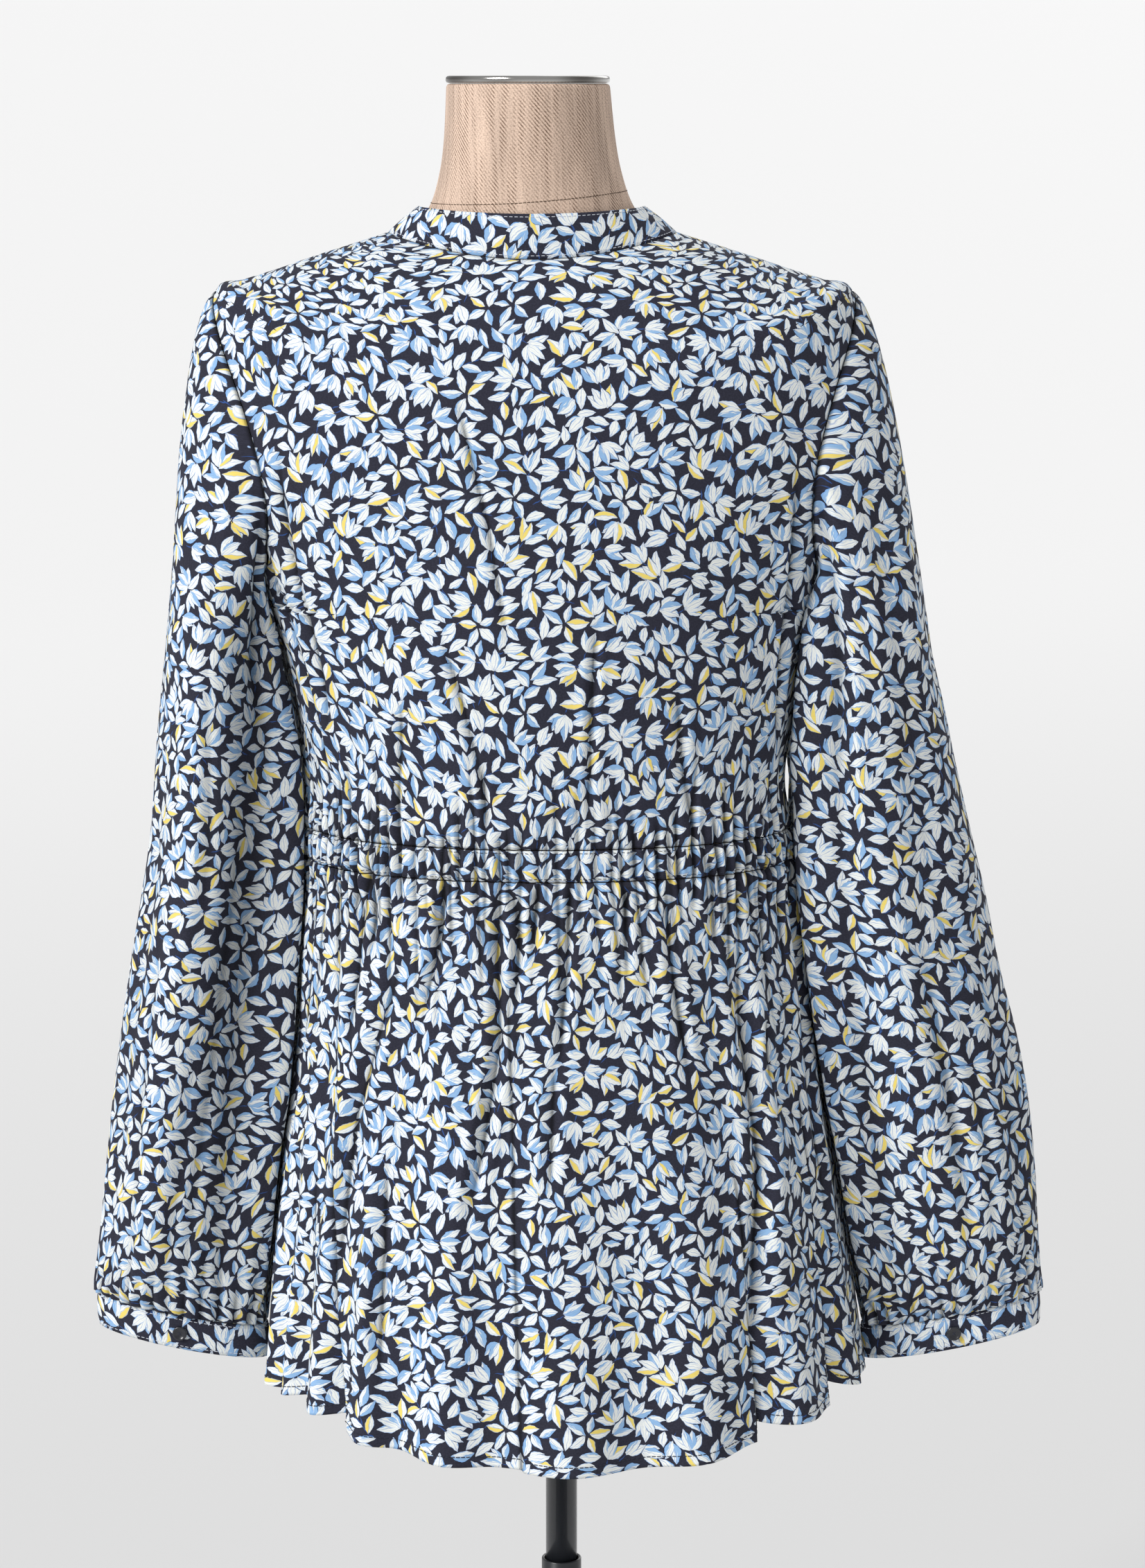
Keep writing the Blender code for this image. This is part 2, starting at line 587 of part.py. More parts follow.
def make_stand(black, chrome):
    """Cap, mast, tube, clamp and base. The mast slides in the tube."""
    neck = with_lean([0.0, 0.0, 0.0])
    cap = [(0, -4.2), (47, -4.2), (48.6, -3.4), (48.8, -1.2), (47.6, 0), (0, 0)]
    lathe("neck_cap", cap, 24, chrome, neck)
    form_floor = CAP_TOP + FORM_BOTTOM
    mast_low = TUBE_TOP - POLE_ENGAGED
    plate = form_floor - STEEL_GAP
    under = plate - PLATE_HEIGHT
    mast = [(0, mast_low), (POLE_RADIUS, mast_low), (POLE_RADIUS, under), (PLATE_RADIUS, under),
            (PLATE_RADIUS, plate), (0, plate)]
    lathe("mast", mast, 20, black)
    foot = BASE_HEIGHT + STEEL_GAP
    tube = [(0, foot), (30, foot), (30, foot + 6), (TUBE_RADIUS, foot + 12), (TUBE_RADIUS, TUBE_TOP),
            (TUBE_BORE, TUBE_TOP), (TUBE_BORE, foot + 12), (0, foot + 12)]
    lathe("outer_tube", tube, 20, black)
    r = BASE_RADIUS
    base = [(0, 0), (r - 1.5, 0), (r, 2), (r, BASE_HEIGHT - 3), (r - 4, BASE_HEIGHT), (0, BASE_HEIGHT)]
    lathe("base_disc", base, 28, black)


def make_clamp(black):
    """The split collar round the tube and the knob that tightens it."""
    low, high = TUBE_TOP - 48, TUBE_TOP - 22
    inner, outer = TUBE_RADIUS + STEEL_GAP, TUBE_RADIUS + 6
    turn = np.linspace(0, 2 * np.pi, CLAMP_SIDES, endpoint=False)
    round_x, round_y, level = np.cos(turn), np.sin(turn), np.ones(CLAMP_SIDES)
    rings = [(outer, high), (outer, low), (inner, low), (inner, high)]
    points = np.concatenate([np.stack([r * round_x, r * round_y, z * level], -1) for r, z in rings])
    quads = grid_quads(len(rings), CLAMP_SIDES, 0, True)
    here = np.arange(CLAMP_SIDES)
    there = (here + 1) % CLAMP_SIDES
    last = (len(rings) - 1) * CLAMP_SIDES
    closing = np.stack([last + here, last + there, there, here], -1)
    make_object("clamp_collar", points, np.concatenate([quads, closing]), black)
    knob = [(0, 0), (4, 0), (4, 6), (12, 7), (12, 19), (10, 21), (0, 21)]
    lathe("clamp_knob", knob, 16, black, (0, -(outer + STEEL_GAP), (low + high) / 2), (0, -1, 0))


def build():
    for old in list(bpy.data.objects):
        bpy.data.objects.remove(old, do_unlink=True)
    cloth = material("leaf_print_cotton", (0.32, 0.38, 0.47), 0.8)
    linen = material("natural_linen", (0.55, 0.44, 0.32), 0.9)
    black = material("black_painted_steel", (0.015, 0.017, 0.02), 0.35)
    chrome = material("chrome", (0.75, 0.76, 0.78), 0.12, 1.0)
    dark = material("dark_button", (0.02, 0.022, 0.03), 0.3)
    make_back_bodice(cloth)
    rows = make_front_bodices(cloth)
    line, normals = make_placket(rows, cloth)
    make_casings(cloth)
    make_skirts(cloth)
    make_collar(cloth)
    for side in ("left", "right"):
        make_sleeve(side, cloth)
        make_cuff(side, cloth, dark)
    make_front_buttons(line, normals, dark)
    make_form(linen)
    make_stand(black, chrome)
    make_clamp(black)


build()
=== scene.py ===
"""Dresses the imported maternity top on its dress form: cloth, print, gathers, stitching, bust, stand and
stage."""

import functools
import math

import bpy
import numpy as np
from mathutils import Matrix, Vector


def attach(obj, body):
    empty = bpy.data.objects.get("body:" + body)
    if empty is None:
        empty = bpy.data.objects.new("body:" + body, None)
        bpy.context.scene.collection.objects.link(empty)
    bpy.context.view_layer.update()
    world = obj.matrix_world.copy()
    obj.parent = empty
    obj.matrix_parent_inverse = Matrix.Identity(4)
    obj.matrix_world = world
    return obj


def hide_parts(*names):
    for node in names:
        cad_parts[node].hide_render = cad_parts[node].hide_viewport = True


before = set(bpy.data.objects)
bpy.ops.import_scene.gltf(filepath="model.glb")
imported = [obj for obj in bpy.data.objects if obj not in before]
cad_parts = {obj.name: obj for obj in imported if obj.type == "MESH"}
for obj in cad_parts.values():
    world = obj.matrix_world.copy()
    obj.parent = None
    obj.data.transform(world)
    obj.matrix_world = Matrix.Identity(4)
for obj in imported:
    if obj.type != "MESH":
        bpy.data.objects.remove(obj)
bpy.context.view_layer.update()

bl_info = {
    "name": "Maternity top on a dress form",
    "version": (1, 0, 0),
    "blender": (4, 5, 0),
    "location": "View3D > Sidebar > Top",
    "description": "Builds the cloth, print and stand of a gathered top around its packed solids",
    "category": "Object",
}

MM = 0.001
CAP_TOP = 1300.0  # height of the neck cap's top over the floor, in mm
LEAN, LEAN_FOOT = 0.028, -700.0  # sideways lean of the form, and the height where its axis meets the mast's
FACING = 0.12  # the shoulder seam lies this share of the depth in front of the ridge
ARMHOLE_SCOOP = 0.57  # how far the armhole cuts round the body, as a share of its depth
SLEEVE_REACH = 4.0  # least room between sleeve and body, in mm
LEAF_SLOTS = 5  # leaves that one face of cloth can show
FACE_REACH = 0.0028  # how far a face's corner may lie from its middle on the flat cloth
PACK_CELL, LOOKUP_CELL = 0.0005, 0.001  # cells of the print's tile, for packing leaves and for finding them
WAIST_RADIUS, WAIST_HALF = 131, 212  # millimetres of waist a radian, and half of a panel's waist
SEAM_GAP = 0.2  # how far a panel ends short of its seam, in mm
PHOTO_FOCAL, PHOTO_HEIGHT = 6242, 2263  # in pixels of the photograph
CAMERA_PLACE, CAMERA_DROP = (-0.0069, 2.6, 1.3), 9.3  # in metres, and degrees below the level

# Rings of the top from neckline to hem, heights from the cap's top: z_back, z_side, z_front, half_width,
# back_depth, front_depth.
BODY = np.array([
    (-106, -92, -150, 86, 58, 72),
    (-116, -99, -160, 108, 70, 84),
    (-128, -106, -172, 130, 80, 94),
    (-142, -113.5, -184, 152, 88, 102),
    (-158, -120, -197, 173, 95, 109),
    (-175, -126, -210, 190, 101, 114),
    (-205, -165, -235, 197, 106.5, 119),
    (-240, -215, -262, 196, 110.5, 123),
    (-280, -265, -290, 182, 113.5, 126),
    (-318, -314, -318, 166, 115, 125),
    (-350, -350, -350, 156, 115, 123),
    (-385, -385, -385, 150, 114, 120),
    (-418, -418, -418, 147.5, 112.5, 118),
    (-447, -449, -447, 148, 112, 118),
    (-466, -468, -466, 149, 113, 119),
    (-500, -501, -500, 151, 117, 124),
    (-540, -540, -540, 155, 121, 130),
    (-580, -580, -581, 159, 124.5, 135),
    (-620, -619, -621, 164, 127.5, 140),
    (-660, -657, -661, 171, 130.5, 145),
    (-700, -695, -702, 176, 133, 149),
    (-740, -731, -743, 181, 135.5, 152.5),
    (-780, -764, -782, 185, 137.5, 155.5),
    (-818, -794, -820, 188, 139, 158),
], float)
SHOULDER_TIP, UNDERARM, WAIST_TOP, WAIST_LOW, HEM = 5, 9, 13, 14, 23  # rows of BODY
COLLAR_TOP = np.array((-79.5, -76.5, -124, 67.5, 55.1, 66.5))  # the collar's upper edge, in BODY's columns

# Rings of the bare form, in the same columns.
FORM = np.array([
    (-4.5, -4.5, -4.5, 48.5, 50, 48),
    (-37, -37, -38, 51, 51, 49.5),
    (-60, -58, -64, 54.5, 52, 51),
    (-80, -76, -90, 60.5, 52.5, 54),
    (-94, -88, -118, 70, 53.5, 60),
    (-108, -96.5, -151, 84, 55.4, 69.5),
    (-118.3, -101, -162.2, 107.5, 67.6, 81.6),
    (-130.3, -108, -174.2, 129.4, 77.6, 91.6),
    (-144.3, -115.5, -186.2, 151.2, 85.6, 99.6),
    (-160.3, -122.2, -199.2, 171.5, 92.6, 106.6),
    (-177, -130, -212, 184, 98.5, 111.5),
    (-207, -160, -236, 185, 104, 115),
    (-240, -205, -262, 178, 107, 118),
    (-280, -262, -290, 162, 107, 119),
    (-318, -312, -318, 147, 104, 116),
    (-350, -350, -350, 136, 100, 110),
    (-390, -390, -390, 125, 95, 101),
    (-430, -430, -430, 119, 92, 96),
    (-470, -470, -470, 122, 94, 98),
    (-520, -520, -520, 134, 99, 104),
    (-570, -570, -570, 143, 104, 108),
    (-612, -612, -612, 147, 106, 110),
    (-620, -620, -620, 144, 103, 107),
], float)

# Rings of a sleeve below the underarm: height, outer edge of the left and of the right sleeve, inner edge,
# middle and half depth front to back.
SLEEVE = np.array([
    (-345, 230, 234.5, 152, 0, 60),
    (-380, 235, 242, 149, -2, 60),
    (-412, 239, 248, 147, -4, 60),
    (-455, 244, 257, 147, -6, 59),
    (-498, 252, 266.5, 150, -8, 58),
    (-541, 261, 274, 154, -9, 57),
    (-585, 269, 284, 158, -10, 55),
    (-629, 276, 291, 164, -11, 53),
    (-673, 282, 295, 170, -12, 50),
    (-705, 286, 296, 174, -12, 46),
    (-728, 289, 296.5, 178, -12, 40),
    (-743, 290.5, 296.5, 182, -12, 33),
    (-757, 290.5, 296.5, 185, -12, 25),
], float)
CUFF_DROP, CUFF_TILT = 21.0, 0.2  # a cuff's height in mm, and its slope down towards the body
TILT_FROM, TILT_FULL = 6, 12  # rows of SLEEVE between which the cuffs' tilt comes in

# Long folds of the sleeves: side, place round the sleeve in degrees (0 outer, 90 back, 180 inner), drift in
# degrees from top to bottom, width in degrees, depth in mm (minus is a ridge), first and last height.
SLEEVE_FOLDS = [
    ("left", 66, 0, 15, -3.5, -330, -757),
    ("left", 116, 0, 24, 16.0, -280, -757),
    ("left", 30, 0, 12, 3.5, -380, -740),
    ("left", 150, 0, 16, -12.0, -360, -757),
    ("left", 250, 0, 16, 3.5, -330, -700),
    ("left", 80, -10, 6, -2.2, -230, -560),
    ("left", 74, 6, 5, 3.0, -250, -520),
    ("left", 122, 10, 9, 6.5, -215, -420),
    ("left", 104, -14, 6, 3.4, -420, -745),
    ("left", 48, 6, 5, 2.4, -480, -750),
    ("left", 86, -8, 5, 2.8, -560, -755),
    ("right", 62, 0, 14, 4.5, -230, -640),
    ("right", 100, 0, 14, -3.5, -300, -757),
    ("right", 34, 0, 13, 4.0, -480, -750),
    ("right", 145, 0, 20, -16.0, -386, -757),
    ("right", 145, 0, 20, -11.0, -290, -428),
    ("right", 215, 0, 20, -13.0, -398, -757),
    ("right", 215, 0, 20, -10.0, -290, -424),
    ("left", 215, 0, 20, -13.0, -300, -757),
    ("right", 255, 0, 16, 3.5, -330, -700),
    ("right", 96, 10, 6, -2.4, -170, -520),
    ("right", 112, 12, 8, 5.0, -180, -520),
    ("right", 84, -12, 6, 3.6, -440, -750),
    ("right", 122, 6, 9, 5.0, -480, -752),
    ("right", 58, 2, 5, 2.6, -560, -752),
    ("right", 72, 6, 5, 2.4, -420, -700),
]

# Troughs of the waves at the hem, in degrees from back centre (+ towards the wearer's left) and from front
# centre.
BACK_TROUGHS = [-79, -61, -38.5, -14, 13, 33, 47, 60, 70, 80]
FRONT_TROUGHS = [-78, -60, -43, -26, -9, 9, 26, 43, 60, 78]

# Long folds of the back, each through three places: rows of BODY and degrees from back centre, then depth and
# half width in mm.
BACK_FOLDS = [
    (13.9, 24.0, 15.3, 27.0, 16.5, 31.0, 2.2, 3.2),
    (13.9, 12.5, 16.5, 12.0, 19.8, 20.0, 3.2, 3.6),
    (14.0, 9.0, 14.9, 7.0, 16.1, 8.5, 1.8, 2.8),
    (14.0, 2.5, 14.6, 3.5, 15.3, 4.5, 1.5, 2.6),
    (13.8, 52.0, 14.7, 48.0, 17.0, 52.0, 2.0, 3.2),
    (13.5, 47.0, 14.8, 44.0, 15.6, 46.5, 1.8, 3.0),
    (15.0, 34.0, 17.8, 48.5, 21.0, 50.0, 2.6, 5.0),
    (18.2, 37.5, 20.6, 37.0, 22.2, 37.0, 2.4, 5.0),
    (13.9, 71.0, 17.9, 77.5, 22.8, 81.0, 2.6, 6.0),
    (16.7, 0.0, 17.8, 1.0, 18.9, 2.0, 1.5, 3.6),
    (13.9, -4.5, 15.3, -3.5, 17.1, -0.5, 2.0, 3.0),
    (13.9, -18.0, 14.8, -17.0, 15.8, -16.5, 1.8, 3.0),
    (13.9, -27.0, 15.6, -27.8, 17.4, -30.0, 2.0, 3.2),
    (13.3, -39.0, 14.3, -40.0, 15.5, -40.0, 1.8, 2.8),
    (15.0, -46.5, 18.3, -46.5, 21.8, -38.5, 4.0, 5.5),
    (16.3, -53.5, 16.9, -52.5, 17.4, -51.5, 1.6, 3.0),
    (13.3, -73.5, 16.0, -74.0, 20.5, -67.5, 2.8, 6.0),
    (9.0, 21.5, 11.6, 15.0, 12.9, 13.0, 1.5, 2.6),
    (8.6, -11.0, 11.3, -10.0, 13.0, -8.5, 1.4, 2.6),
    (10.2, 33.0, 11.6, 36.0, 12.9, 38.0, 1.2, 3.2),
    (10.0, -30.0, 11.6, -33.0, 12.9, -36.0, 1.2, 3.2),
    (6.6, 49.0, 8.6, 57.0, 11.4, 60.0, 2.0, 3.2),
    (7.8, 67.0, 9.6, 67.0, 12.6, 62.0, 2.2, 3.4),
    (6.8, -49.0, 9.0, -61.0, 11.8, -70.0, 2.2, 3.4),
    (5.2, 14.0, 7.4, 9.0, 9.6, 7.0, 0.8, 2.8),
]
FRONT_FOLDS = [
    (13.9, 20.0, 16.0, 23.0, 19.0, 27.0, 2.4, 3.6),
    (13.9, -15.0, 16.0, -17.0, 20.0, -20.0, 2.6, 3.8),
    (14.0, 45.0, 16.6, 48.0, 21.0, 50.0, 2.8, 5.0),
    (14.0, -42.0, 17.0, -46.0, 21.5, -50.0, 3.0, 5.0),
    (13.8, 71.0, 17.0, 73.0, 22.0, 76.0, 2.6, 6.0),
    (13.8, -70.0, 17.0, -74.0, 22.0, -77.0, 2.6, 6.0),
    (9.4, 34.0, 11.4, 30.0, 12.9, 27.0, 1.4, 3.0),
    (9.2, -36.0, 11.4, -31.0, 12.9, -29.0, 1.4, 3.0),
]

# Folds laid over at the hem: degrees from the centre at the hem and at their top, the row where they start,
# how far
# the cloth steps back beyond them and how far the hem rises there, in mm.
BACK_PLEATS = [
    (46.0, 57.0, 15.6, 3.5, 11.0),
    (57.5, 61.0, 18.5, 3.0, 8.0),
    (-39.0, -38.5, 18.0, 3.5, 12.0),
    (-61.5, -64.0, 17.0, 3.5, 15.0),
    (8.0, 9.5, 15.2, 1.0, 1.5),
]
FRONT_PLEATS = [(40.0, 43.0, 18.0, 3.0, 8.0), (-44.0, -46.0, 17.5, 3.0, 8.0)]


# ---- surfaces ----------------------------------------------------------------------------------------------

def table_at(table, rows):
    """Every column of a table at fractional rows: Catmull-Rom, that is the cubic through the two nearest rows
    whose slopes are half the steps between their neighbours."""
    rows = np.asarray(rows, float)
    low = np.clip(np.floor(rows).astype(int), 0, len(table) - 2)
    f = (rows - low)[..., None]
    before, here = table[np.maximum(low - 1, 0)], table[low]
    there, after = table[low + 1], table[np.minimum(low + 2, len(table) - 1)]
    slope_here, slope_there = (there - before) / 2, (after - here) / 2
    return (
        here * (2 * f**3 - 3 * f**2 + 1)
        + slope_here * (f**3 - 2 * f**2 + f)
        + there * (3 * f**2 - 2 * f**3)
        + slope_there * (f**3 - f**2)
    )


def ring_point(table, angle, rows):
    """Points and level outward normals: x = a sin t, y = b cos t, z = middle + (side - middle) sin^2 t, with
    b and middle taken from the back where cos t > 0 and from the front elsewhere."""
    z_back, z_side, z_front, half_width, back, front = np.moveaxis(table_at(table, rows), -1, 0)
    sin, cos = np.sin(angle), np.cos(angle)
    depth = np.where(cos > 0, back, front)
    middle = np.where(cos > 0, z_back, z_front)
    points = np.stack([half_width * sin, depth * cos, middle + (z_side - middle) * sin**2], -1)
    normals = np.stack([sin / half_width, cos / depth, 0 * sin], -1)
    return points, normals / np.linalg.norm(normals, axis=-1, keepdims=True)


def ring_speed(angle, rows):
    """Millimetres along a ring of BODY for each radian: the length of (a cos t, b sin t)."""
    _, _, _, half_width, back, front = np.moveaxis(table_at(BODY, rows), -1, 0)
    depth = np.where(np.cos(angle) > 0, back, front)
    return np.hypot(half_width * np.cos(angle), depth * np.sin(angle))


def side_edge(rows, front):
    """Angle of a panel's side edge from its centre: arccos(scoop sin(pi w)^0.55 -/+ facing (1 - w)^2), where
    w runs from 0 at the shoulder's tip to 1 at the underarm."""
    down = np.clip((np.asarray(rows, float) - SHOULDER_TIP) / (UNDERARM - SHOULDER_TIP), 0, 1)
    facing = FACING if front else -FACING
    return np.arccos(ARMHOLE_SCOOP * np.sin(np.pi * down) ** 0.55 + facing * (1 - down) ** 2)


def with_lean(points):
    """World metres of millimetre points on the leaning form: x + lean (z - foot), z + cap height."""
    moved = np.array(points, float)
    moved[..., 0] += LEAN * (moved[..., 2] - LEAN_FOOT)
    moved[..., 2] += CAP_TOP
    return moved * MM


def ripple(t, seed, waves=5):
    """Smooth noise between about -1 and 1: a sum of sines of t with seeded pitches and starts."""
    rng = np.random.default_rng(seed)
    pitch, start = rng.uniform(0.45, 1.7, waves), rng.uniform(0, 2 * np.pi, waves)
    return sum(np.sin(t * p + s) for p, s in zip(pitch, start)) / (0.8 * math.sqrt(waves) * 1.3)


def smooth(low, high, x):
    """0 below low, 1 above high, and 3 u^2 - 2 u^3 between."""
    u = np.clip((x - low) / (high - low), 0, 1)
    return u * u * (3 - 2 * u)


def wave(own, front):
    """Hem waves, -1 to 1: minus the cosine of the angle's place among the troughs."""
    troughs = np.radians(FRONT_TROUGHS if front else BACK_TROUGHS)
    return -np.cos(2 * np.pi * np.interp(own, troughs, np.arange(len(troughs))))


def swell(own, rows, front, wave_height):
    """The waves' height: wave x (0.3 + 0.7 |cos|^0.6) x share of the way to the hem, to the power 1.3."""
    share = np.clip((rows - WAIST_LOW) / (HEM - WAIST_LOW), 0, 1)
    return wave_height * wave(own, front) * (0.3 + 0.7 * np.abs(np.cos(own)) ** 0.6) * share**1.3


def fold_relief(own, rows, front):
    """Long folds: a bell-shaped valley along the line through each fold's three places, with a lower ridge on
    either side, all fading at its two ends. Gives the relief and the painted shade at the valley's bottom."""
    degrees, relief, dark = np.degrees(own), np.zeros(own.shape), np.zeros(own.shape)
    speed = ring_speed(np.pi - own if front else own, rows) * np.pi / 180
    for r0, a0, r1, a1, r2, a2, depth, width in FRONT_FOLDS if front else BACK_FOLDS:
        line = np.interp(rows, [r0, r1, r2], [a0, a1, a2])
        away = (degrees - line) * speed / width
        ends = smooth(0, 0.22, (rows - r0) / (r2 - r0)) * smooth(0, 0.3, (r2 - rows) / (r2 - r0))
        shoulder = np.exp(-((np.abs(away) - 2.1) ** 2) / 1.3)
        relief += 1.3 * depth * ends * (0.55 * shoulder - np.exp(-(away**2)))
        # Painted shade at the bottom of the fold's valley.
        dark += 0.9 * ends * np.exp(-((away * width / 1.5) ** 2))
    return relief, dark


def pleat_relief(own, rows, front):
    """Folds laid over at the hem: beyond each pleat's line, on the side away from the centre, the cloth steps
    back and the hem rises, both dying away as exp(-distance / 26 mm). Gives relief, the painted shade in
    the step behind each pleat's edge and the hem's rise."""
    relief, dark, rise = np.zeros((3,) + own.shape)
    speed = ring_speed(np.pi - own if front else own, rows) * np.pi / 180
    for low, high, top, back, lifted in FRONT_PLEATS if front else BACK_PLEATS:
        line = np.interp(rows, [top, HEM], [high, low])
        beyond = (np.degrees(own) - line) * speed * np.sign(low)
        step = smooth(-1.0, 1.0, beyond) * np.exp(-np.maximum(beyond, 0) / 26) * smooth(top, top + 2.5, rows)
        relief -= back * step
        # Painted shade in the step behind the pleat's edge.
        dark += 0.9 * np.exp(-(((beyond - 0.8) / 1.3) ** 2)) * smooth(top, top + 1.2, rows)
        rise += lifted * step * smooth(19.5, HEM, rows) ** 2
    return relief, dark, rise


def valley(away, width):
    """A narrow valley with a low ridge on each side: 0.4 exp(-(|d| - 2.1)^2 / 0.9) - exp(-d^2), d = away /
    width."""
    d = away / width
    return 0.4 * np.exp(-((np.abs(d) - 2.1) ** 2) / 0.9) - np.exp(-(d**2))


def gather_relief(own, rows, front, height):
    """The gathered waist: valleys at uneven places along it, each with its own depth, width, slant and length
    above and below the casing, which the elastic's two rows of stitching draw in. Gives relief and the
    painted shade in the valleys."""
    rng = np.random.default_rng(31 if front else 11)
    t = own * WAIST_RADIUS
    z = np.interp(rows, np.arange(len(BODY)), BODY[:, 0])
    below, above = np.maximum(BODY[WAIST_LOW, 0] - z, 0), np.maximum(z - BODY[WAIST_TOP, 0], 0)
    places = np.cumsum(rng.uniform(3.6, 10.0, 80)) - WAIST_HALF
    relief, dark = np.zeros(own.shape), np.zeros(own.shape)
    for place in places[places < WAIST_HALF]:
        depth, width = rng.uniform(0.6, 1.7), rng.uniform(1.2, 2.0)
        down = rng.uniform(14, 34) + 70 * rng.uniform(0, 1) ** 3
        up = rng.uniform(8, 20) + 40 * rng.uniform(0, 1) ** 3
        slant = rng.uniform(-0.07, 0.07)
        depth *= 0.75 + 0.45 * abs(math.sin(place / WAIST_RADIUS))
        fade = np.exp(-((below / down) ** 2) - (above / up) ** 2)
        away = t - place - slant * (above - below)
        relief += depth * fade * valley(away, width * (1 + (below + above) / 60))
        in_reach = np.exp(-((below / down) ** 4) - (above / up) ** 4)
        # Painted shade along the bottom of each gather's valley.
        dark += min(0.8 * depth, 1.0) * in_reach * np.exp(-((away / 1.2) ** 2))
    stitched = np.exp(-(((z - BODY[WAIST_TOP, 0]) / 1.8) ** 2)) + np.exp(-(((z - BODY[WAIST_LOW, 0])
                                                                            / 1.8) ** 2))
    puff = np.exp(-(((below - 7) / 6) ** 2)) * (below > 0) + np.exp(-(((above - 7) / 6) ** 2)) * (above > 0)
    swelling = 0.7 + 0.3 * ripple(t / 9, 77)
    return height * relief * (1 - 0.35 * stitched) + 1.1 * puff * swelling - 0.6 * stitched, dark


def side_nip(own, rows):
    """The right side draws in above the waist, so that daylight shows between body and sleeve:
    -5 exp(-((degrees + 90) / 14)^2) exp(-((row - 12.1) / 0.75)^2)."""
    right = np.exp(-(((np.degrees(own) + 90) / 14) ** 2))
    return -5.0 * right * np.exp(-(((rows - 12.1) / 0.75) ** 2))


def body_relief(own, edge, rows, front, cloth):
    """All that moves the top's surface out from its plain rings, in mm, how much painted shade each place
    gets in folds, gathers, pleats and along the armhole seam, 0 to 1, and how far it rises at the hem's
    pleats."""
    slack = 0.5 * ripple(np.degrees(own) / 4.3 + rows * 0.5, 5) * ripple(rows * 1.3 + np.degrees(own) / 23, 6)
    calm = smooth(0, 3, rows) * smooth(0.0, 0.06, np.abs(edge - np.abs(own)) + 0.02)
    folds, painted_fold_shade = fold_relief(own, rows, front)
    gathers, painted_gather_shade = gather_relief(own, rows, front, cloth.pleat_height)
    pleats, painted_pleat_shade, rise = pleat_relief(own, rows, front)
    relief = swell(own, rows, front, cloth.wave_height) + folds + gathers + pleats + side_nip(own, rows)
    from_seam = (edge - np.abs(own)) * ring_speed(np.pi - own if front else own, rows)
    # Painted shade along the armhole seam, where the sleeve meets the body.
    painted_seam_shade = 0.85 * np.exp(-((from_seam / 1.3) ** 2)) * smooth(SHOULDER_TIP - 0.6, SHOULDER_TIP,
                                                                rows) * (rows < UNDERARM)
    return relief + slack * calm, np.clip(painted_fold_shade + painted_gather_shade + painted_pleat_shade + painted_seam_shade, 0, 1), rise


def body_panel(own, rows, front, relief, rise=0.0):
    """Points of the top's surface: ring point + its level normal x relief, raised by rise."""
    points, normals = ring_point(BODY, np.pi - own if front else own, rows)
    points = points + normals * relief[..., None]
    points[..., 2] += rise
    return points


def panel_grid(row_list, columns, low, high, crowd=1.0):
    """Rows and own angles of a panel: middle + half s, with s spread as sign(s) (1 - (1 - |s|)^crowd)."""
    rows = np.repeat(np.asarray(row_list, float)[:, None], columns, axis=1)
    s = np.linspace(-1, 1, columns)
    s = np.sign(s) * (1 - (1 - np.abs(s)) ** crowd)
    return rows, ((high + low) / 2)[:, None] + ((high - low) / 2)[:, None] * s[None, :]


def arc_lengths(points, axis, anchor):
    """Running length of a grid along one axis in metres, zero at the anchor's row or column."""
    steps = np.linalg.norm(np.diff(points, axis=axis), axis=-1)
    start = np.zeros_like(np.take(steps, [0], axis=axis))
    run = np.cumsum(np.concatenate([start, steps], axis=axis), axis=axis)
    return run - np.take(run, [anchor], axis=axis)


def running_length(line):
    """The length along a line of points from its start to each of them."""
    return np.concatenate([[0], np.cumsum(np.linalg.norm(np.diff(line, axis=0), axis=1))])


def read_along(at, gone, values):
    """A line's values at given lengths along it, linear between its points, whose running length is gone."""
    return np.stack([np.interp(at, gone, values[:, k]) for k in range(3)], -1)


def surface_normals(grid, closed=False, centre=(0.0, 0.0)):
    """Unit normals of a grid, the cross product of its two difference directions, turned away from an upright
    line at centre."""
    across = np.roll(grid, -1, axis=1) - np.roll(grid, 1, axis=1) if closed else np.gradient(grid, axis=1)
    normals = np.cross(across, np.gradient(grid, axis=0))
    normals /= np.maximum(np.linalg.norm(normals, axis=-1, keepdims=True), 1e-9)
    away = (normals[..., :2] * (grid[..., :2] - np.asarray(centre))).sum()
    return normals * (1.0 if away > 0 else -1.0)


# ---- meshes ------------------------------------------------------------------------------------------------

def new_object(name, vertices, faces, uv, finish):
    """A smooth mesh object at the origin from arrays of points, faces and corner UVs."""
    mesh = bpy.data.meshes.new(name)
    mesh.from_pydata(vertices.tolist(), [], faces.tolist() if hasattr(faces, "tolist") else faces)
    if uv is not None:
        mesh.uv_layers.new(name="cut").data.foreach_set("uv", uv.astype(np.float32).ravel())
    mesh.polygons.foreach_set("use_smooth", np.ones(len(mesh.polygons), bool))
    mesh.materials.append(finish)
    mesh.update()
    made = bpy.data.objects.new(name, mesh)
    bpy.context.scene.collection.objects.link(made)
    return made


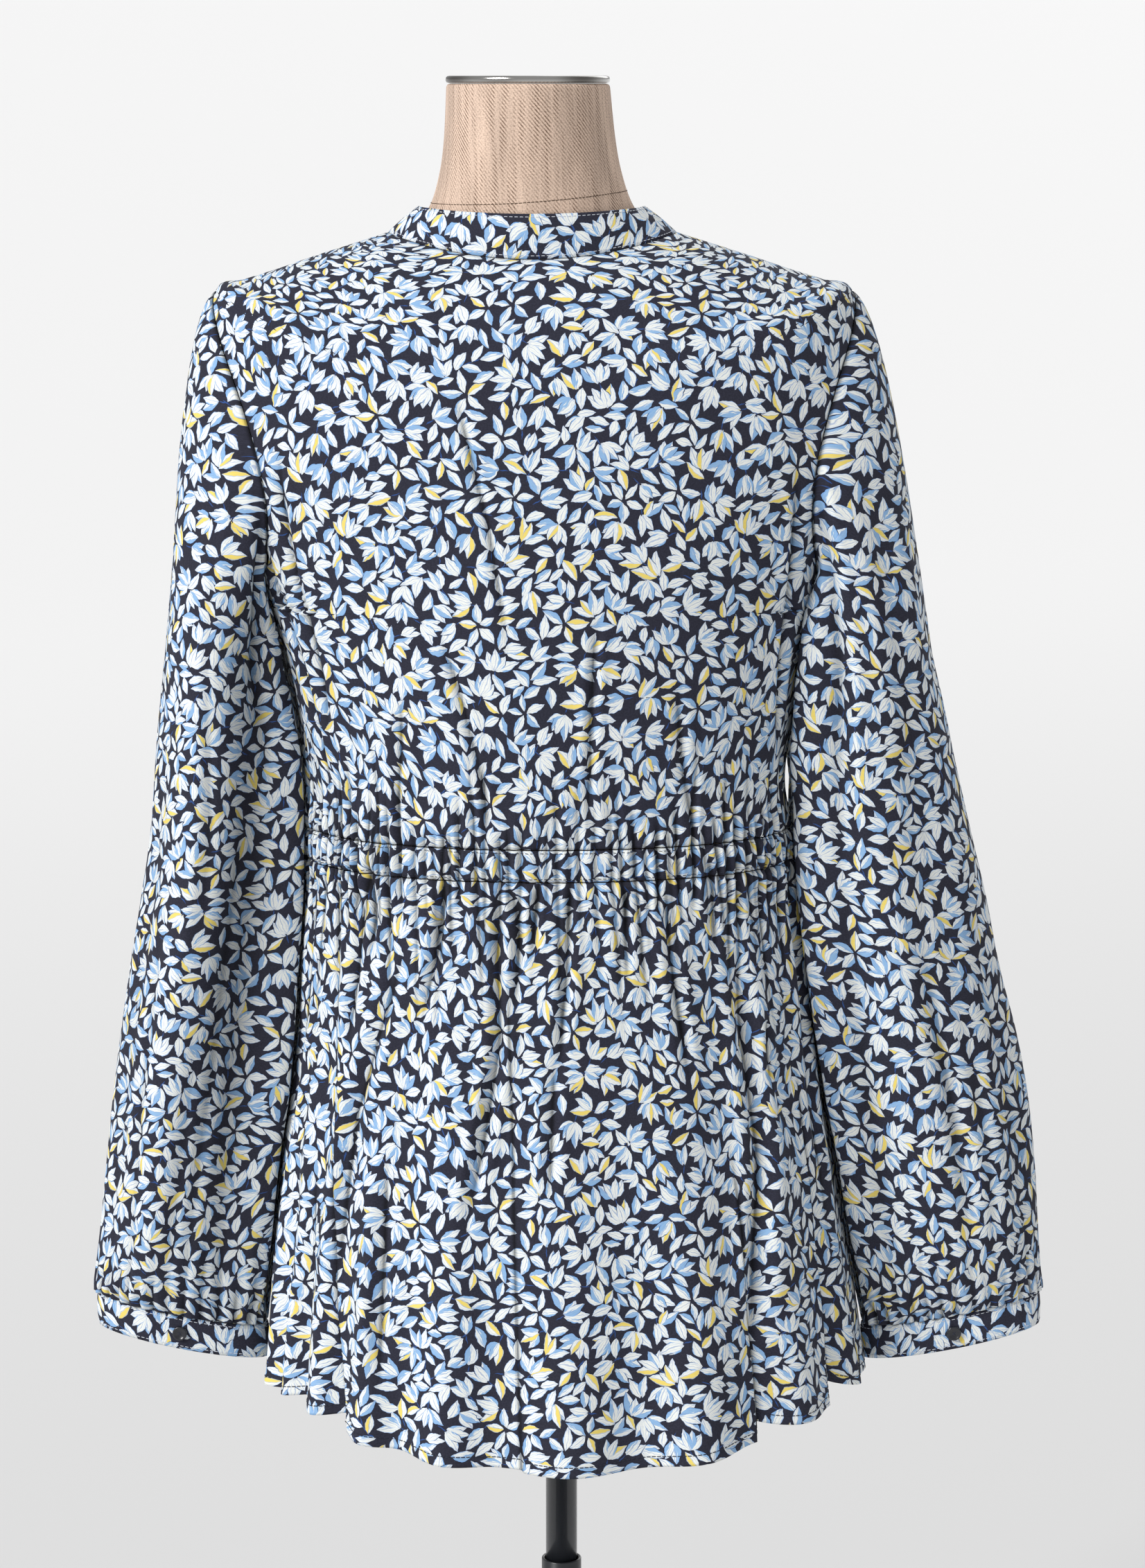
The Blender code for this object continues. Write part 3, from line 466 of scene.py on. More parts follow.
def lay_grid(name, grid, uv, finish, closed=False, centre=(0.0, 0.0)):
    """A mesh over a grid of metre points, its faces away from an upright line at centre. On a closed grid the
    uv has one more column than the points. Gives the object and the faces' corners as places in the uv."""
    rows, columns = grid.shape[:2]
    r = np.arange(rows - 1)[:, None]
    c = np.arange(columns if closed else columns - 1)[None, :]
    corners = ((r, c), (r, c + 1), (r + 1, c + 1), (r + 1, c))
    faces = np.stack([np.broadcast_to(a * columns + b % columns, (rows - 1, c.size)) for a, b in corners], -1)
    places = np.stack([np.broadcast_to(a * uv.shape[1] + b, (rows - 1, c.size)) for a, b in corners], -1)
    faces, places, flat = faces.reshape(-1, 4), places.reshape(-1, 4), grid.reshape(-1, 3)
    normals = np.cross(flat[faces[:, 2]] - flat[faces[:, 0]], flat[faces[:, 3]] - flat[faces[:, 1]])
    if (normals[:, :2] * (flat[faces[:, 0], :2] - np.asarray(centre))).sum() < 0:
        faces, places = faces[:, ::-1], places[:, ::-1]
    return new_object(name, flat, faces, uv.reshape(-1, 2)[places.reshape(-1)], finish), places


def ring_quads(rows, columns, closed=False):
    """Faces between neighbouring rings of so many points; closed also joins the last ring to the first."""
    r, c = np.arange(rows if closed else rows - 1)[:, None], np.arange(columns)[None, :]
    below, beside = (r + 1) % rows, (c + 1) % columns
    corners = (r * columns + c, r * columns + beside, below * columns + beside, below * columns + c)
    return np.stack(corners, -1).reshape(-1, 4)


def give_wall(piece, thick):
    """A Solidify wall inwards from the surface, thick in metres."""
    wall = piece.modifiers.new("cloth wall", "SOLIDIFY")
    wall.thickness, wall.offset, wall.use_rim = thick, -1, True


def turned(name, profile, segments, finish, centre=(0, 0, 0), direction=(0, 0, 1)):
    """A turned piece: each (radius, height) of the profile, in mm, carried round its axis. The first and last
    points lie on the axis and close it."""
    profile = np.asarray(profile, float)
    turn = np.arange(segments) * 2 * np.pi / segments
    radius, height = profile[1:-1, 0], profile[1:-1, 1]
    ring = np.stack([np.cos(turn), np.sin(turn)], -1)
    heights = np.broadcast_to(height[:, None, None], (len(radius), segments, 1))
    points = np.concatenate([radius[:, None, None] * ring[None], heights], -1).reshape(-1, 3)
    points = np.concatenate([points, [[0, 0, profile[0, 1]], [0, 0, profile[-1, 1]]]])
    axis = np.asarray(direction, float) / np.linalg.norm(direction)
    side = np.cross([0, 0, 1], axis) if abs(axis[2]) < 0.9 else np.array([1.0, 0, 0])
    side /= np.linalg.norm(side)
    other = np.cross(axis, side)
    placed = points[:, :1] * side + points[:, 1:2] * other + points[:, 2:] * axis
    first, last, low = len(points) - 2, len(points) - 1, (len(radius) - 1) * segments
    neighbours = [(a, (a + 1) % segments) for a in range(segments)]
    faces = ring_quads(len(radius), segments).tolist()
    faces += [[first, b, a] for a, b in neighbours]
    faces += [[last, low + a, low + b] for a, b in neighbours]
    return new_object(name, placed * MM + np.asarray(centre, float), faces, None, finish)


def stitches(name, path, normals, finish, pitch=3.1, length=2.2, thick=0.42):
    """A run of thread: one small five-sided capsule for each pitch along a path of metre points, half sunk in
    the cloth. All in one mesh."""
    gone = running_length(path)
    count = max(int(gone[-1] / (pitch * MM)), 1)
    at = (np.arange(count) + 0.5) * gone[-1] / count
    place, out = read_along(at, gone, path), read_along(at, gone, normals)
    along = read_along(at + 1e-4, gone, path) - read_along(at - 1e-4, gone, path)
    along /= np.linalg.norm(along, axis=1, keepdims=True)
    across = np.cross(out, along)
    across /= np.linalg.norm(across, axis=1, keepdims=True)
    up = np.cross(along, across)
    turn = np.arange(5) * 2 * np.pi / 5
    shape = [(l * length * MM / 2, r * thick * MM / 2) for l,
             r in ((-1, 0.35), (-0.7, 1), (0.7, 1), (1, 0.35))]
    points = np.concatenate([
        place[:, None, :] + l * along[:, None, :] + r * (np.cos(turn)[None, :, None] * across[:, None, :]
                                                          + np.sin(turn)[None, :, None] * up[:, None, :])
        for l, r in shape], axis=1)
    ring, k = np.arange(3)[:, None] * 5, np.arange(5)[None, :]
    one = np.stack([ring + k, ring + (k + 1) % 5, ring + 5 + (k + 1) % 5, ring + 5 + k],
                   -1).reshape(-1, 4)[:, ::-1]
    quads = (one[None] + np.arange(count)[:, None, None] * 20).reshape(-1, 4).tolist()
    for n in range(count):
        quads.append([n * 20 + v for v in range(5)])
        quads.append([n * 20 + 15 + v for v in range(4, -1, -1)])
    return new_object(name, points.reshape(-1, 3), quads, None, finish)


# ---- finishes ----------------------------------------------------------------------------------------------

def linear(colour):
    """Scene-linear values of an sRGB colour: ((c + 0.055) / 1.055)^2.4."""
    return tuple(((c + 0.055) / 1.055) ** 2.4 if c > 0.04045 else c / 12.92 for c in colour[:3])


class Tree:
    """Short ways to add nodes to one material."""

    def __init__(self, name):
        self.material = bpy.data.materials.new(name)
        self.material.use_nodes = True
        self.nodes = self.material.node_tree.nodes
        self.links = self.material.node_tree.links
        self.shader = self.nodes["Principled BSDF"]

    def put(self, socket, value):
        """Links a node's output to a socket, or sets a plain value there."""
        if isinstance(value, bpy.types.NodeSocket):
            self.links.new(value, socket)
        elif value is not None:
            socket.default_value = value

    def math(self, operation, *values):
        """A Math node's result."""
        node = self.nodes.new("ShaderNodeMath")
        node.operation = operation
        for socket, value in zip(node.inputs, values):
            self.put(socket, value)
        return node.outputs[0]

    def vector(self, operation, *values):
        """A Vector Math node's result."""
        node = self.nodes.new("ShaderNodeVectorMath")
        node.operation = operation
        for socket, value in zip(node.inputs, values):
            self.put(socket, value)
        return node.outputs["Value"] if operation in ("DOT_PRODUCT", "LENGTH",
                                                      "DISTANCE") else node.outputs[0]

    def join(self, x, y, z=0.0):
        """A vector of three values."""
        node = self.nodes.new("ShaderNodeCombineXYZ")
        for socket, value in zip(node.inputs, (x, y, z)):
            self.put(socket, value)
        return node.outputs[0]

    def split(self, value):
        """The three values of a vector."""
        node = self.nodes.new("ShaderNodeSeparateXYZ")
        self.put(node.inputs[0], value)
        return node.outputs

    def mix(self, factor, a, b, kind="RGBA"):
        """a at factor 0 and b at factor 1."""
        node = self.nodes.new("ShaderNodeMix")
        node.data_type = kind
        names = {"RGBA": ("Factor_Float", "A_Color", "B_Color", "Result_Color"),
                 "VECTOR": ("Factor_Float", "A_Vector", "B_Vector", "Result_Vector")}[kind]
        sockets = {s.identifier: s for s in list(node.inputs) + list(node.outputs)}
        for name, value in zip(names, (factor, a, b)):
            opaque = kind == "RGBA" and isinstance(value, tuple) and len(value) == 3
            self.put(sockets[name], (*value, 1) if opaque else value)
        return sockets[names[3]]

    def ramp(self, value, low, high):
        """0 at low and 1 at high, smoothly between."""
        node = self.nodes.new("ShaderNodeMapRange")
        node.interpolation_type = "SMOOTHSTEP"
        self.put(node.inputs["Value"], value)
        node.inputs["From Min"].default_value, node.inputs["From Max"].default_value = low, high
        return node.outputs["Result"]

    def noise(self, vector, scale, detail=2.0, colour=False, dimensions="3D"):
        """Soft noise about 0.5, as one value or a colour."""
        node = self.nodes.new("ShaderNodeTexNoise")
        node.noise_dimensions = dimensions
        self.put(node.inputs["Vector"], vector)
        node.inputs["Scale"].default_value, node.inputs["Detail"].default_value = scale, detail
        return node.outputs["Color" if colour else "Fac"]

    def cut(self):
        """The flat cloth's own coordinates in metres."""
        node = self.nodes.new("ShaderNodeUVMap")
        node.uv_map = "cut"
        return node.outputs[0]

    def attribute(self, name, output="Vector"):
        """What the mesh holds under a name."""
        node = self.nodes.new("ShaderNodeAttribute")
        node.attribute_name = name
        return node.outputs[output]

    def scale(self, vector, factor):
        """A vector or colour times a value."""
        node = self.nodes.new("ShaderNodeVectorMath")
        node.operation = "SCALE"
        self.put(node.inputs[0], vector)
        self.put(node.inputs["Scale"], factor)
        return node.outputs[0]

    def place(self):
        """Object coordinates."""
        return self.nodes.new("ShaderNodeTexCoord").outputs["Object"]

    def bump(self, height, distance, strength=1.0):
        """Raises the shader's normal by a height times a distance in metres."""
        node = self.nodes.new("ShaderNodeBump")
        self.put(node.inputs["Height"], height)
        node.inputs["Distance"].default_value, node.inputs["Strength"].default_value = distance, strength
        self.links.new(node.outputs[0], self.shader.inputs["Normal"])


def leaf_frame(leaf, dx, dy, grow=0.0):
    """A place in a leaf's own half sizes: u along its heading and v across it, less bend x u^2."""
    _, _, heading, half, wide, bend = leaf[:6]
    cos, sin = math.cos(heading), math.sin(heading)
    u = (dx * cos + dy * sin) / (half + grow)
    return u, (dy * cos - dx * sin) / (wide + grow) - bend * u * u


@functools.lru_cache(maxsize=1)
def pack_leaves(tile, length, width):
    """Leaves on a tile that repeats both ways, as rows of x, y, heading, half length, half width, bend and
    tone.

    They grow in flowers, fans, sprays along a stem, pairs and singles. A group is kept where its leaves, each
    the places with |v| + u^2 < 1, hardly cover any leaf before it. A tone over 1 marks a stem."""
    rng = np.random.default_rng(7)
    cells = round(tile / PACK_CELL)
    step = tile / cells
    taken = np.zeros((cells, cells), bool)
    near = np.arange(-17, 18)

    def window(leaf, grow=0.0):
        """The cells round a leaf, and which of them it covers when grown."""
        i, j = int(leaf[0] // step), int(leaf[1] // step)
        dx, dy = (i + near + 0.5) * step - leaf[0], (j + near + 0.5) * step - leaf[1]
        u, v = leaf_frame(leaf, dx[:, None], dy[None, :], grow)
        return np.ix_((i + near) % cells, (j + near) % cells), np.abs(v) + u * u < 1

    def overlap(leaf):
        place, inside = window(leaf)
        return (taken[place] & inside).sum() / inside.sum()

    def leaf_from(x, y, heading, size):
        """A leaf that starts at x, y."""
        half, wide = length / 2 * size * rng.uniform(0.86, 1.1), width / 2 * size * rng.uniform(0.84, 1.16)
        return (x + half * math.cos(heading), y + half * math.sin(heading), heading, half, wide,
                rng.uniform(-0.45, 0.45), rng.uniform(0.02, 0.98))

    def stem(x, y, heading, long):
        half = long / 2
        return (x + half * math.cos(heading), y + half * math.sin(heading), heading, half, 0.00035, 0.0, 1.5)

    def flower(x, y, heading):
        turns = heading + np.arange(5) * 2 * np.pi / 5
        return [leaf_from(x + 0.0012 * math.cos(t), y + 0.0012 * math.sin(t), t, rng.uniform(0.7, 0.95))
                for t in turns]

    def fan(x, y, heading):
        """Three to five leaves from one point, the outer ones first, on a short stem."""
        count = rng.integers(3, 6)
        spread = np.linspace(-1, 1, count) * rng.uniform(0.55, 0.85) * (count - 1) / 3
        turns = heading + spread[np.argsort(-np.abs(spread))] + rng.uniform(-0.08, 0.08, count)
        return [leaf_from(x, y, t, rng.uniform(0.8, 1.04))
                for t in turns] + [stem(x, y, heading + math.pi, 0.006)]

    def spray(x, y, heading):
        """Leaves by turns on both sides of a curved stem, and one at its tip."""
        bend, leaves = rng.uniform(-0.3, 0.3), []
        for n in range(rng.integers(3, 6)):
            side = 1 if n % 2 else -1
            leaves.append(leaf_from(x, y, heading + side * rng.uniform(0.5, 0.8), rng.uniform(0.78, 0.98)))
            leaves.append(stem(x, y, heading, 0.42 * length))
            x, y = x + 0.38 * length * math.cos(heading), y + 0.38 * length * math.sin(heading)
            heading += bend
        return leaves + [leaf_from(x, y, heading, 0.95)]

    def pair(x, y, heading):
        return [leaf_from(x, y, heading + a, 0.98) for a in (-0.36, 0.36)]

    def single(x, y, heading, size):
        """One leaf, in whichever of five directions it covers least."""
        turns = heading + np.arange(5) * np.pi / 5
        options = [leaf_from(x - 0.4 * length * size * math.cos(t), y - 0.4 * length * size * math.sin(t), t,
                             size)
                   for t in turns]
        return [min(options, key=overlap)]

    def somewhere():
        """A free cell of the tile and any heading."""
        at = int(rng.integers(cells * cells))
        while taken.flat[at]:
            at = int(rng.integers(cells * cells))
        return (at // cells + 0.5) * step, (at % cells + 0.5) * step, rng.uniform(0, 2 * np.pi)

    placed = []
    steps = [(flower, 16, 0.04, ()), (fan, 260, 0.05, ()), (spray, 1500, 0.05, ()), (fan, 700, 0.05, ())]
    steps += [(pair, 1600, 0.04, ()), (single, 1500, 0.03, (0.96,)), (single, 1300, 0.03, (0.8,))]
    for kind, tries, allowed, sizes in steps:
        for _ in range(tries):
            group = kind(*somewhere(), *sizes)
            good = [leaf for leaf in group if leaf[6] > 1 or overlap(leaf) <= allowed]
            if len(group) - len(good) > (1 if len(group) > 3 else 0):
                continue
            placed += good
            for leaf in good:
                if leaf[6] < 1:
                    place, inside = window(leaf, 0.0002)
                    taken[place] |= inside
    placed.sort(key=lambda leaf: leaf[6] < 1)
    return np.array(placed)


@functools.lru_cache(maxsize=1)
def leaf_lookup(tile, length, width):
    """For each millimetre cell of the tile, the leaves that a face of cloth centred there can touch: the
    nearest by |v| + u^2 in sizes grown by a face's reach, then in the order in which they are printed, or
    -1."""
    cells = round(tile / LOOKUP_CELL)
    step, near, found = tile / cells, np.arange(-12, 13), []
    for number, leaf in enumerate(pack_leaves(tile, length, width)):
        i, j = int(leaf[0] // step), int(leaf[1] // step)
        dx, dy = (i + near + 0.5) * step - leaf[0], (j + near + 0.5) * step - leaf[1]
        u, v = leaf_frame(leaf, dx[:, None], dy[None, :], FACE_REACH)
        depth = np.abs(v) + u * u
        a, b = np.nonzero(depth < 1.1)
        cell = ((i + near[a]) % cells) * cells + (j + near[b]) % cells
        found.append(np.stack([cell, np.full(len(a), number), depth[a, b]], -1))
    found = np.concatenate(found)
    for column in (2, 1):  # first the nearest of each cell, then those in printing order
        found = found[np.lexsort((found[:, column], found[:, 0]))]
        rank = np.arange(len(found)) - np.searchsorted(found[:, 0], found[:, 0])
        found, rank = found[rank < LEAF_SLOTS], rank[rank < LEAF_SLOTS]
    table = np.full((cells * cells, LEAF_SLOTS), -1)
    table[found[:, 0].astype(int), rank] = found[:, 1].astype(int)
    return table


def print_leaves(mesh, centres, look):
    """Gives each face the leaves that may cross it, as three vectors a leaf: its middle; cos / half, sin /
    half and minus its bend; -sin / wide, cos / wide and its tone. An empty place holds a leaf far away."""
    leaves, tile = pack_leaves(look.tile, look.leaf_length, look.leaf_width), look.tile
    table = leaf_lookup(look.tile, look.leaf_length, look.leaf_width)
    cells = round(tile / LOOKUP_CELL)
    at = np.floor((centres % tile) / tile * cells).astype(int) % cells
    numbers = table[at[:, 0] * cells + at[:, 1]]
    _, _, heading, half, wide, bend, tone = leaves.T
    along = np.stack([np.cos(heading) / half, np.sin(heading) / half, -bend], -1)
    across = np.stack([-np.sin(heading) / wide, np.cos(heading) / wide, tone], -1)
    for slot in range(LEAF_SLOTS):
        number = numbers[:, slot]
        middle = leaves[number, :2]
        middle = middle + tile * np.round((centres - middle) / tile)
        empty = (number < 0)[:, None]
        places = np.concatenate([np.where(empty, 99.0, middle), np.zeros((len(number), 1))], -1)
        for name, values in (("middle", places), ("along", np.where(empty, (1.0, 0, 0), along[number])),
                             ("across", np.where(empty, (0, 1.0, 0), across[number]))):
            made = mesh.attributes.new(f"leaf_{name}_{slot}", "FLOAT_VECTOR", "FACE")
            made.data.foreach_set("vector", values.astype(np.float32).ravel())


def leaf_print(look):
    """The printed cotton. u and v are a place's coordinates in each leaf that the face may touch; the last
    leaf with |v| + u^2 < 1 wins, and one shared stage then paints its halves, veins and rim, or the
    ground."""
    tree = Tree("leaf_print_cotton")
    cut = tree.cut()
    shake = tree.vector("SUBTRACT", tree.noise(cut, 330, 1.0, colour=True, dimensions="2D"), (0.5, 0.5, 0.5))
    where = tree.vector("MULTIPLY_ADD", shake, (0.0011, 0.0011, 0), cut)
    found = (0.0, 0.0, -1.0)
    for slot in range(LEAF_SLOTS):
        away = tree.vector("SUBTRACT", where, tree.attribute(f"leaf_middle_{slot}"))
        along, across = tree.attribute(f"leaf_along_{slot}"), tree.attribute(f"leaf_across_{slot}")
        u = tree.vector("DOT_PRODUCT", away, along)
        square = tree.math("MULTIPLY", u, u)
        v = tree.math("MULTIPLY_ADD", square, tree.split(along)[2], tree.vector("DOT_PRODUCT", away, across))
        inside = tree.math("LESS_THAN", tree.math("ADD", square, tree.math("ABSOLUTE", v)), 1.0)
        found = tree.mix(inside, found, tree.join(u, v, tree.split(across)[2]), "VECTOR")
    u, v, tone = tree.split(found)
    is_stem = tree.math("GREATER_THAN", tone, 1.0)
    second = tree.math("FRACT", tree.math("MULTIPLY", tone, 17.3))
    third = tree.math("FRACT", tree.math("MULTIPLY", tone, 41.7))
    square = tree.math("MULTIPLY", u, u)
    taper = tree.math("MULTIPLY", tree.math("SUBTRACT", 1.0, square),
                      tree.math("SUBTRACT", 1.0, tree.math("MULTIPLY", u, 0.28)))
    rim = tree.math("DIVIDE", tree.math("ABSOLUTE", v), tree.math("MAXIMUM", taper, 0.02))
    is_leaf = tree.math("MULTIPLY", tree.math("GREATER_THAN", tone, 0.0), tree.math("LESS_THAN", rim, 0.96))
    flip = tree.math("SUBTRACT", tree.math("MULTIPLY", tree.math("GREATER_THAN", second, 0.5), 2.0), 1.0)
    side = tree.math("MULTIPLY", v, flip)
    brush = tree.join(tree.math("MULTIPLY", u, 0.8), tree.math("MULTIPLY", v, 3.2),
                      tree.math("MULTIPLY", tone, 60))
    streak = tree.math("SUBTRACT", tree.noise(brush, 1.5, 1.0), 0.5)
    wash = tree.math("MULTIPLY_ADD", streak, 1.5, tree.math("MULTIPLY", tree.math("SUBTRACT", third, 0.76),
                                                            1.1))
    blue = tree.ramp(tree.math("ADD", side, wash), 0.0, 0.16)
    yellow = tree.math("MULTIPLY", tree.math("LESS_THAN", second, 0.12), tree.ramp(side, -0.02, 0.1))
    wander = tree.math("MULTIPLY_ADD", streak, 0.35, v)
    middle_vein = tree.math("SUBTRACT", 1.0, tree.ramp(tree.math("ABSOLUTE", wander), 0.02, 0.13))
    from_side = tree.math("ABSOLUTE", tree.math("SUBTRACT", tree.math("ABSOLUTE", wander),
                                                tree.math("MULTIPLY", taper, 0.5)))
    side_vein = tree.math("MULTIPLY", tree.math("SUBTRACT", 1.0, tree.ramp(from_side, 0.01, 0.1)), 0.5)
    vein = tree.math("MULTIPLY", tree.math("MAXIMUM", middle_vein, side_vein), 0.62)
    edge = tree.math("MULTIPLY", tree.ramp(rim, 0.7, 0.92), 0.7)
    colour = tree.mix(blue, linear(look.white), linear(look.blue))
    colour = tree.mix(vein, colour, linear(look.vein))
    colour = tree.mix(yellow, colour, linear(look.yellow))
    colour = tree.mix(edge, colour, linear(look.rim))
    mottle = tree.ramp(tree.noise(cut, 900, 2.0, dimensions="2D"), 0.3, 0.7)
    ground = tree.mix(mottle, linear(look.ground), tuple(1.3 * c for c in linear(look.ground)))
    near_leaf = tree.math("MULTIPLY", tree.math("GREATER_THAN", tone, 0.0), 0.5)
    ground = tree.mix(near_leaf, ground, linear(look.outline))
    colour = tree.mix(is_stem, colour, linear(look.stem))
    painted = tree.mix(is_leaf, ground, colour)
    warp, weft, _ = tree.split(tree.vector("SINE", tree.vector("MULTIPLY", cut, (10100.0, 11400.0, 0))))
    slub = tree.noise(tree.vector("MULTIPLY", cut, (1, 5, 0)), 240, 2.0, dimensions="2D")
    # Painted shade: the colour is darkened by the per-point crease mask, which stands for the shade in folds,
    # gathers, pleats and the armhole seam; the slub noise is the yarn's own tone.
    shade = tree.math("SUBTRACT", tree.math("MULTIPLY_ADD", slub, 0.12, 0.94),
                      tree.math("MULTIPLY", tree.attribute("painted_crease_shade", "Fac"), look.painted_shade_strength))
    tree.put(tree.shader.inputs["Base Color"], tree.scale(painted, shade))
    tree.shader.inputs["Roughness"].default_value = 0.82
    tree.shader.inputs["Sheen Weight"].default_value = 0.03
    tree.shader.inputs["Sheen Roughness"].default_value = 0.5
    tree.shader.inputs["Specular IOR Level"].default_value = 0.16
    tree.bump(tree.math("MULTIPLY_ADD", tree.math("MULTIPLY", warp, weft), 0.35, slub), 0.00012, 0.7)
    return tree.material


def linen_twill(look):
    """The bust's cover: dark twill lines 2.3 mm apart that rise to the right over a sand ground, in and out
    of sight along upright light and dark streaks, with fine specks and a woven bump."""
    tree = Tree("natural_linen")
    cut = tree.cut()
    x, y, _ = tree.split(cut)
    across = tree.math("ADD", tree.math("MULTIPLY", x, 2 * math.pi / 0.0023),
                       tree.math("MULTIPLY", y, -2 * math.pi / 0.0027))
    twill = tree.math("SINE", across)
    speck = tree.noise(cut, 1100, 2.0, dimensions="2D")
    streak = tree.noise(tree.vector("MULTIPLY", cut, (1, 0.07, 0)), 260, 2.0, dimensions="2D")
    lines = tree.math("MULTIPLY", tree.ramp(tree.math("ADD", twill, speck), 0.2, 1.7),
                      tree.ramp(streak, 0.25, 0.75))
    cloud = tree.noise(tree.vector("MULTIPLY", cut, (1, 0.2, 0)), 60, 3.0, dimensions="2D")
    ground = tree.mix(tree.ramp(cloud, 0.3, 0.7), linear(look.linen),
                      tuple(0.78 * c for c in linear(look.linen)))
    ground = tree.mix(tree.ramp(speck, 0.35, 0.75), ground, tree.scale(ground, 0.7))
    tree.put(tree.shader.inputs["Base Color"], tree.mix(lines, ground, linear(look.linen_dark)))
    tree.shader.inputs["Roughness"].default_value = 0.9
    tree.shader.inputs["Sheen Weight"].default_value = 0.1
    tree.shader.inputs["Specular IOR Level"].default_value = 0.2
    tree.bump(tree.math("ADD", twill, speck), 0.0002, 0.7)
    return tree.material


def chrome_with_painted_reflections():
    """Plated metal whose colour darkens in soft bands that come and go round the piece: a painted reflection
    of a dark surround.
    """
    tree = Tree("polished_chrome")
    place = tree.place()
    # Painted reflection: soft dark bands in the base colour, with a rougher surface where they lie.
    painted_reflection = tree.ramp(tree.noise(tree.vector("MULTIPLY", place, (1, 1, 0.1)), 20, 1.0), 0.36, 0.62)
    tree.put(tree.shader.inputs["Base Color"], tree.mix(painted_reflection, linear((0.72, 0.715, 0.705)),
                                                        linear((0.36, 0.345, 0.33))))
    tree.put(tree.shader.inputs["Roughness"], tree.math("MULTIPLY_ADD", painted_reflection, 0.14, 0.12))
    tree.shader.inputs["Metallic"].default_value = 1.0
    tree.bump(tree.noise(place, 900, 2.0), 0.00003, 0.5)
    return tree.material


def plain_finish(name, colour, roughness, metallic=0.0, coat=0.0, speck=0.0, grain=300.0):
    """A hard finish whose roughness and colour vary a little with noise over the piece."""
    tree = Tree(name)
    place = tree.place()
    cloud = tree.noise(place, grain, 3.0)
    dark = tuple(c * (1 - speck) for c in linear(colour))
    tree.put(tree.shader.inputs["Base Color"], tree.mix(cloud, linear(colour), dark))
    tree.put(tree.shader.inputs["Roughness"],
             tree.math("ADD", roughness * 0.85, tree.math("MULTIPLY", cloud, roughness * 0.3)))
    tree.shader.inputs["Metallic"].default_value = metallic
    tree.shader.inputs["Coat Weight"].default_value = coat
    tree.bump(cloud, 0.00004, 0.5)
    return tree.material


def pale_floor(colour):
    """A plain floor whose colour is painted a little darker towards the camera and to its right, as painted
    shade where the light falls off.
    """
    tree = Tree("pale_floor")
    x, y, _ = tree.split(tree.place())
    # Painted shade: the colour darkens towards the camera and to the right.
    near = tree.ramp(tree.math("MULTIPLY_ADD", x, -0.5, y), -8.0, 0.5)
    tree.put(tree.shader.inputs["Base Color"], tree.mix(near, linear(colour),
                                                        tuple(0.81 * c for c in linear(colour))))
    tree.shader.inputs["Roughness"].default_value = 0.9
    tree.shader.inputs["Specular IOR Level"].default_value = 0.1
    return tree.material


def finish(name):
    """A finish by its name, made once."""
    made = bpy.data.materials.get(name)
    if made:
        return made
    scene = bpy.context.scene
    top, form = scene.top_print, scene.top_stand
    makers = {
        "leaf_print_cotton": lambda: leaf_print(top),
        "natural_linen": lambda: linen_twill(form),
        "black_painted_steel": lambda: plain_finish(name, form.steel, 0.32, 0.0, 0.3, 0.25, 420),
        "polished_chrome": chrome_with_painted_reflections,
        "dark_button": lambda: plain_finish(name, top.button, 0.28, 0.0, 0.4, 0.3, 700),
        "white_thread": lambda: plain_finish(name, (0.86, 0.88, 0.92), 0.7, 0.0, 0.0, 0.2, 2500),
        "navy_thread": lambda: plain_finish(name, (0.13, 0.15, 0.22), 0.7, 0.0, 0.0, 0.2, 2500),
        "brown_thread": lambda: plain_finish(name, (0.3, 0.22, 0.15), 0.8, 0.0, 0.0, 0.2, 2500),
    }
    return makers[name]()


# ---- pieces ------------------------------------------------------------------------------------------------

def cloth_piece(node, grid, uv, painted_crease_shade=None, closed=False, centre=(0.0, 0.0), thick=0.6):
    """Lays the printed cloth over a grid in place of a CAD node, with its leaves and the mask of painted
    shade in its creases."""
    piece, places = lay_grid(node + "_cloth", grid, uv, finish("leaf_print_cotton"), closed, centre)
    print_leaves(piece.data, uv.reshape(-1, 2)[places].mean(axis=1), bpy.context.scene.top_print)
    depth = np.zeros(grid.shape[:2]) if painted_crease_shade is None else painted_crease_shade
    piece.data.attributes.new("painted_crease_shade", "FLOAT", "POINT").data.foreach_set("value",
                                                                           depth.astype(np.float32).ravel())
    give_wall(piece, thick * MM)
    stand_for(piece, node, "form")
    return piece


def stand_for(piece, node, body):
    """Puts a piece in place of a CAD node, riding with its body."""
    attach(piece, body)
    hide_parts(node)


def thread_run(name, path, normals, colour, **sizes):
    """A run of stitches that rides with the cloth."""
    run = stitches(name, path, normals, finish(colour), **sizes)
    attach(run, "form")
    return run


def seam_edges(row_list, front):
    """Edge angle of a panel on each row, a gap short of its seam."""
    rows = np.asarray(row_list, float)
    edge = side_edge(rows, front)
    return edge - SEAM_GAP / ring_speed(np.pi - edge if front else edge, rows)


def flat_cut(grid, level_row, middle, fullness=1.0, shift=(0.0, 0.0), down=None):
    """Places of a grid on the flat cloth, in metres: v is the arc down from the level row, along a column or
    as given, and along a row du = sqrt(ds^2 - dv^2), at least a third of ds, so that lengths hold. fullness
    widens gathered rows."""
    v = -(arc_lengths(grid, 0, level_row) if down is None else down)
    ds = np.linalg.norm(np.diff(grid, axis=1), axis=-1)
    du = np.sqrt(np.maximum(ds**2 - np.diff(v, axis=1) ** 2, (ds / 3) ** 2))
    u = np.cumsum(np.concatenate([np.zeros((len(v), 1)), du], axis=1), axis=1)
    u = (u - u[:, [middle]]) * fullness
    return np.stack([u + shift[0], v + shift[1]], -1)


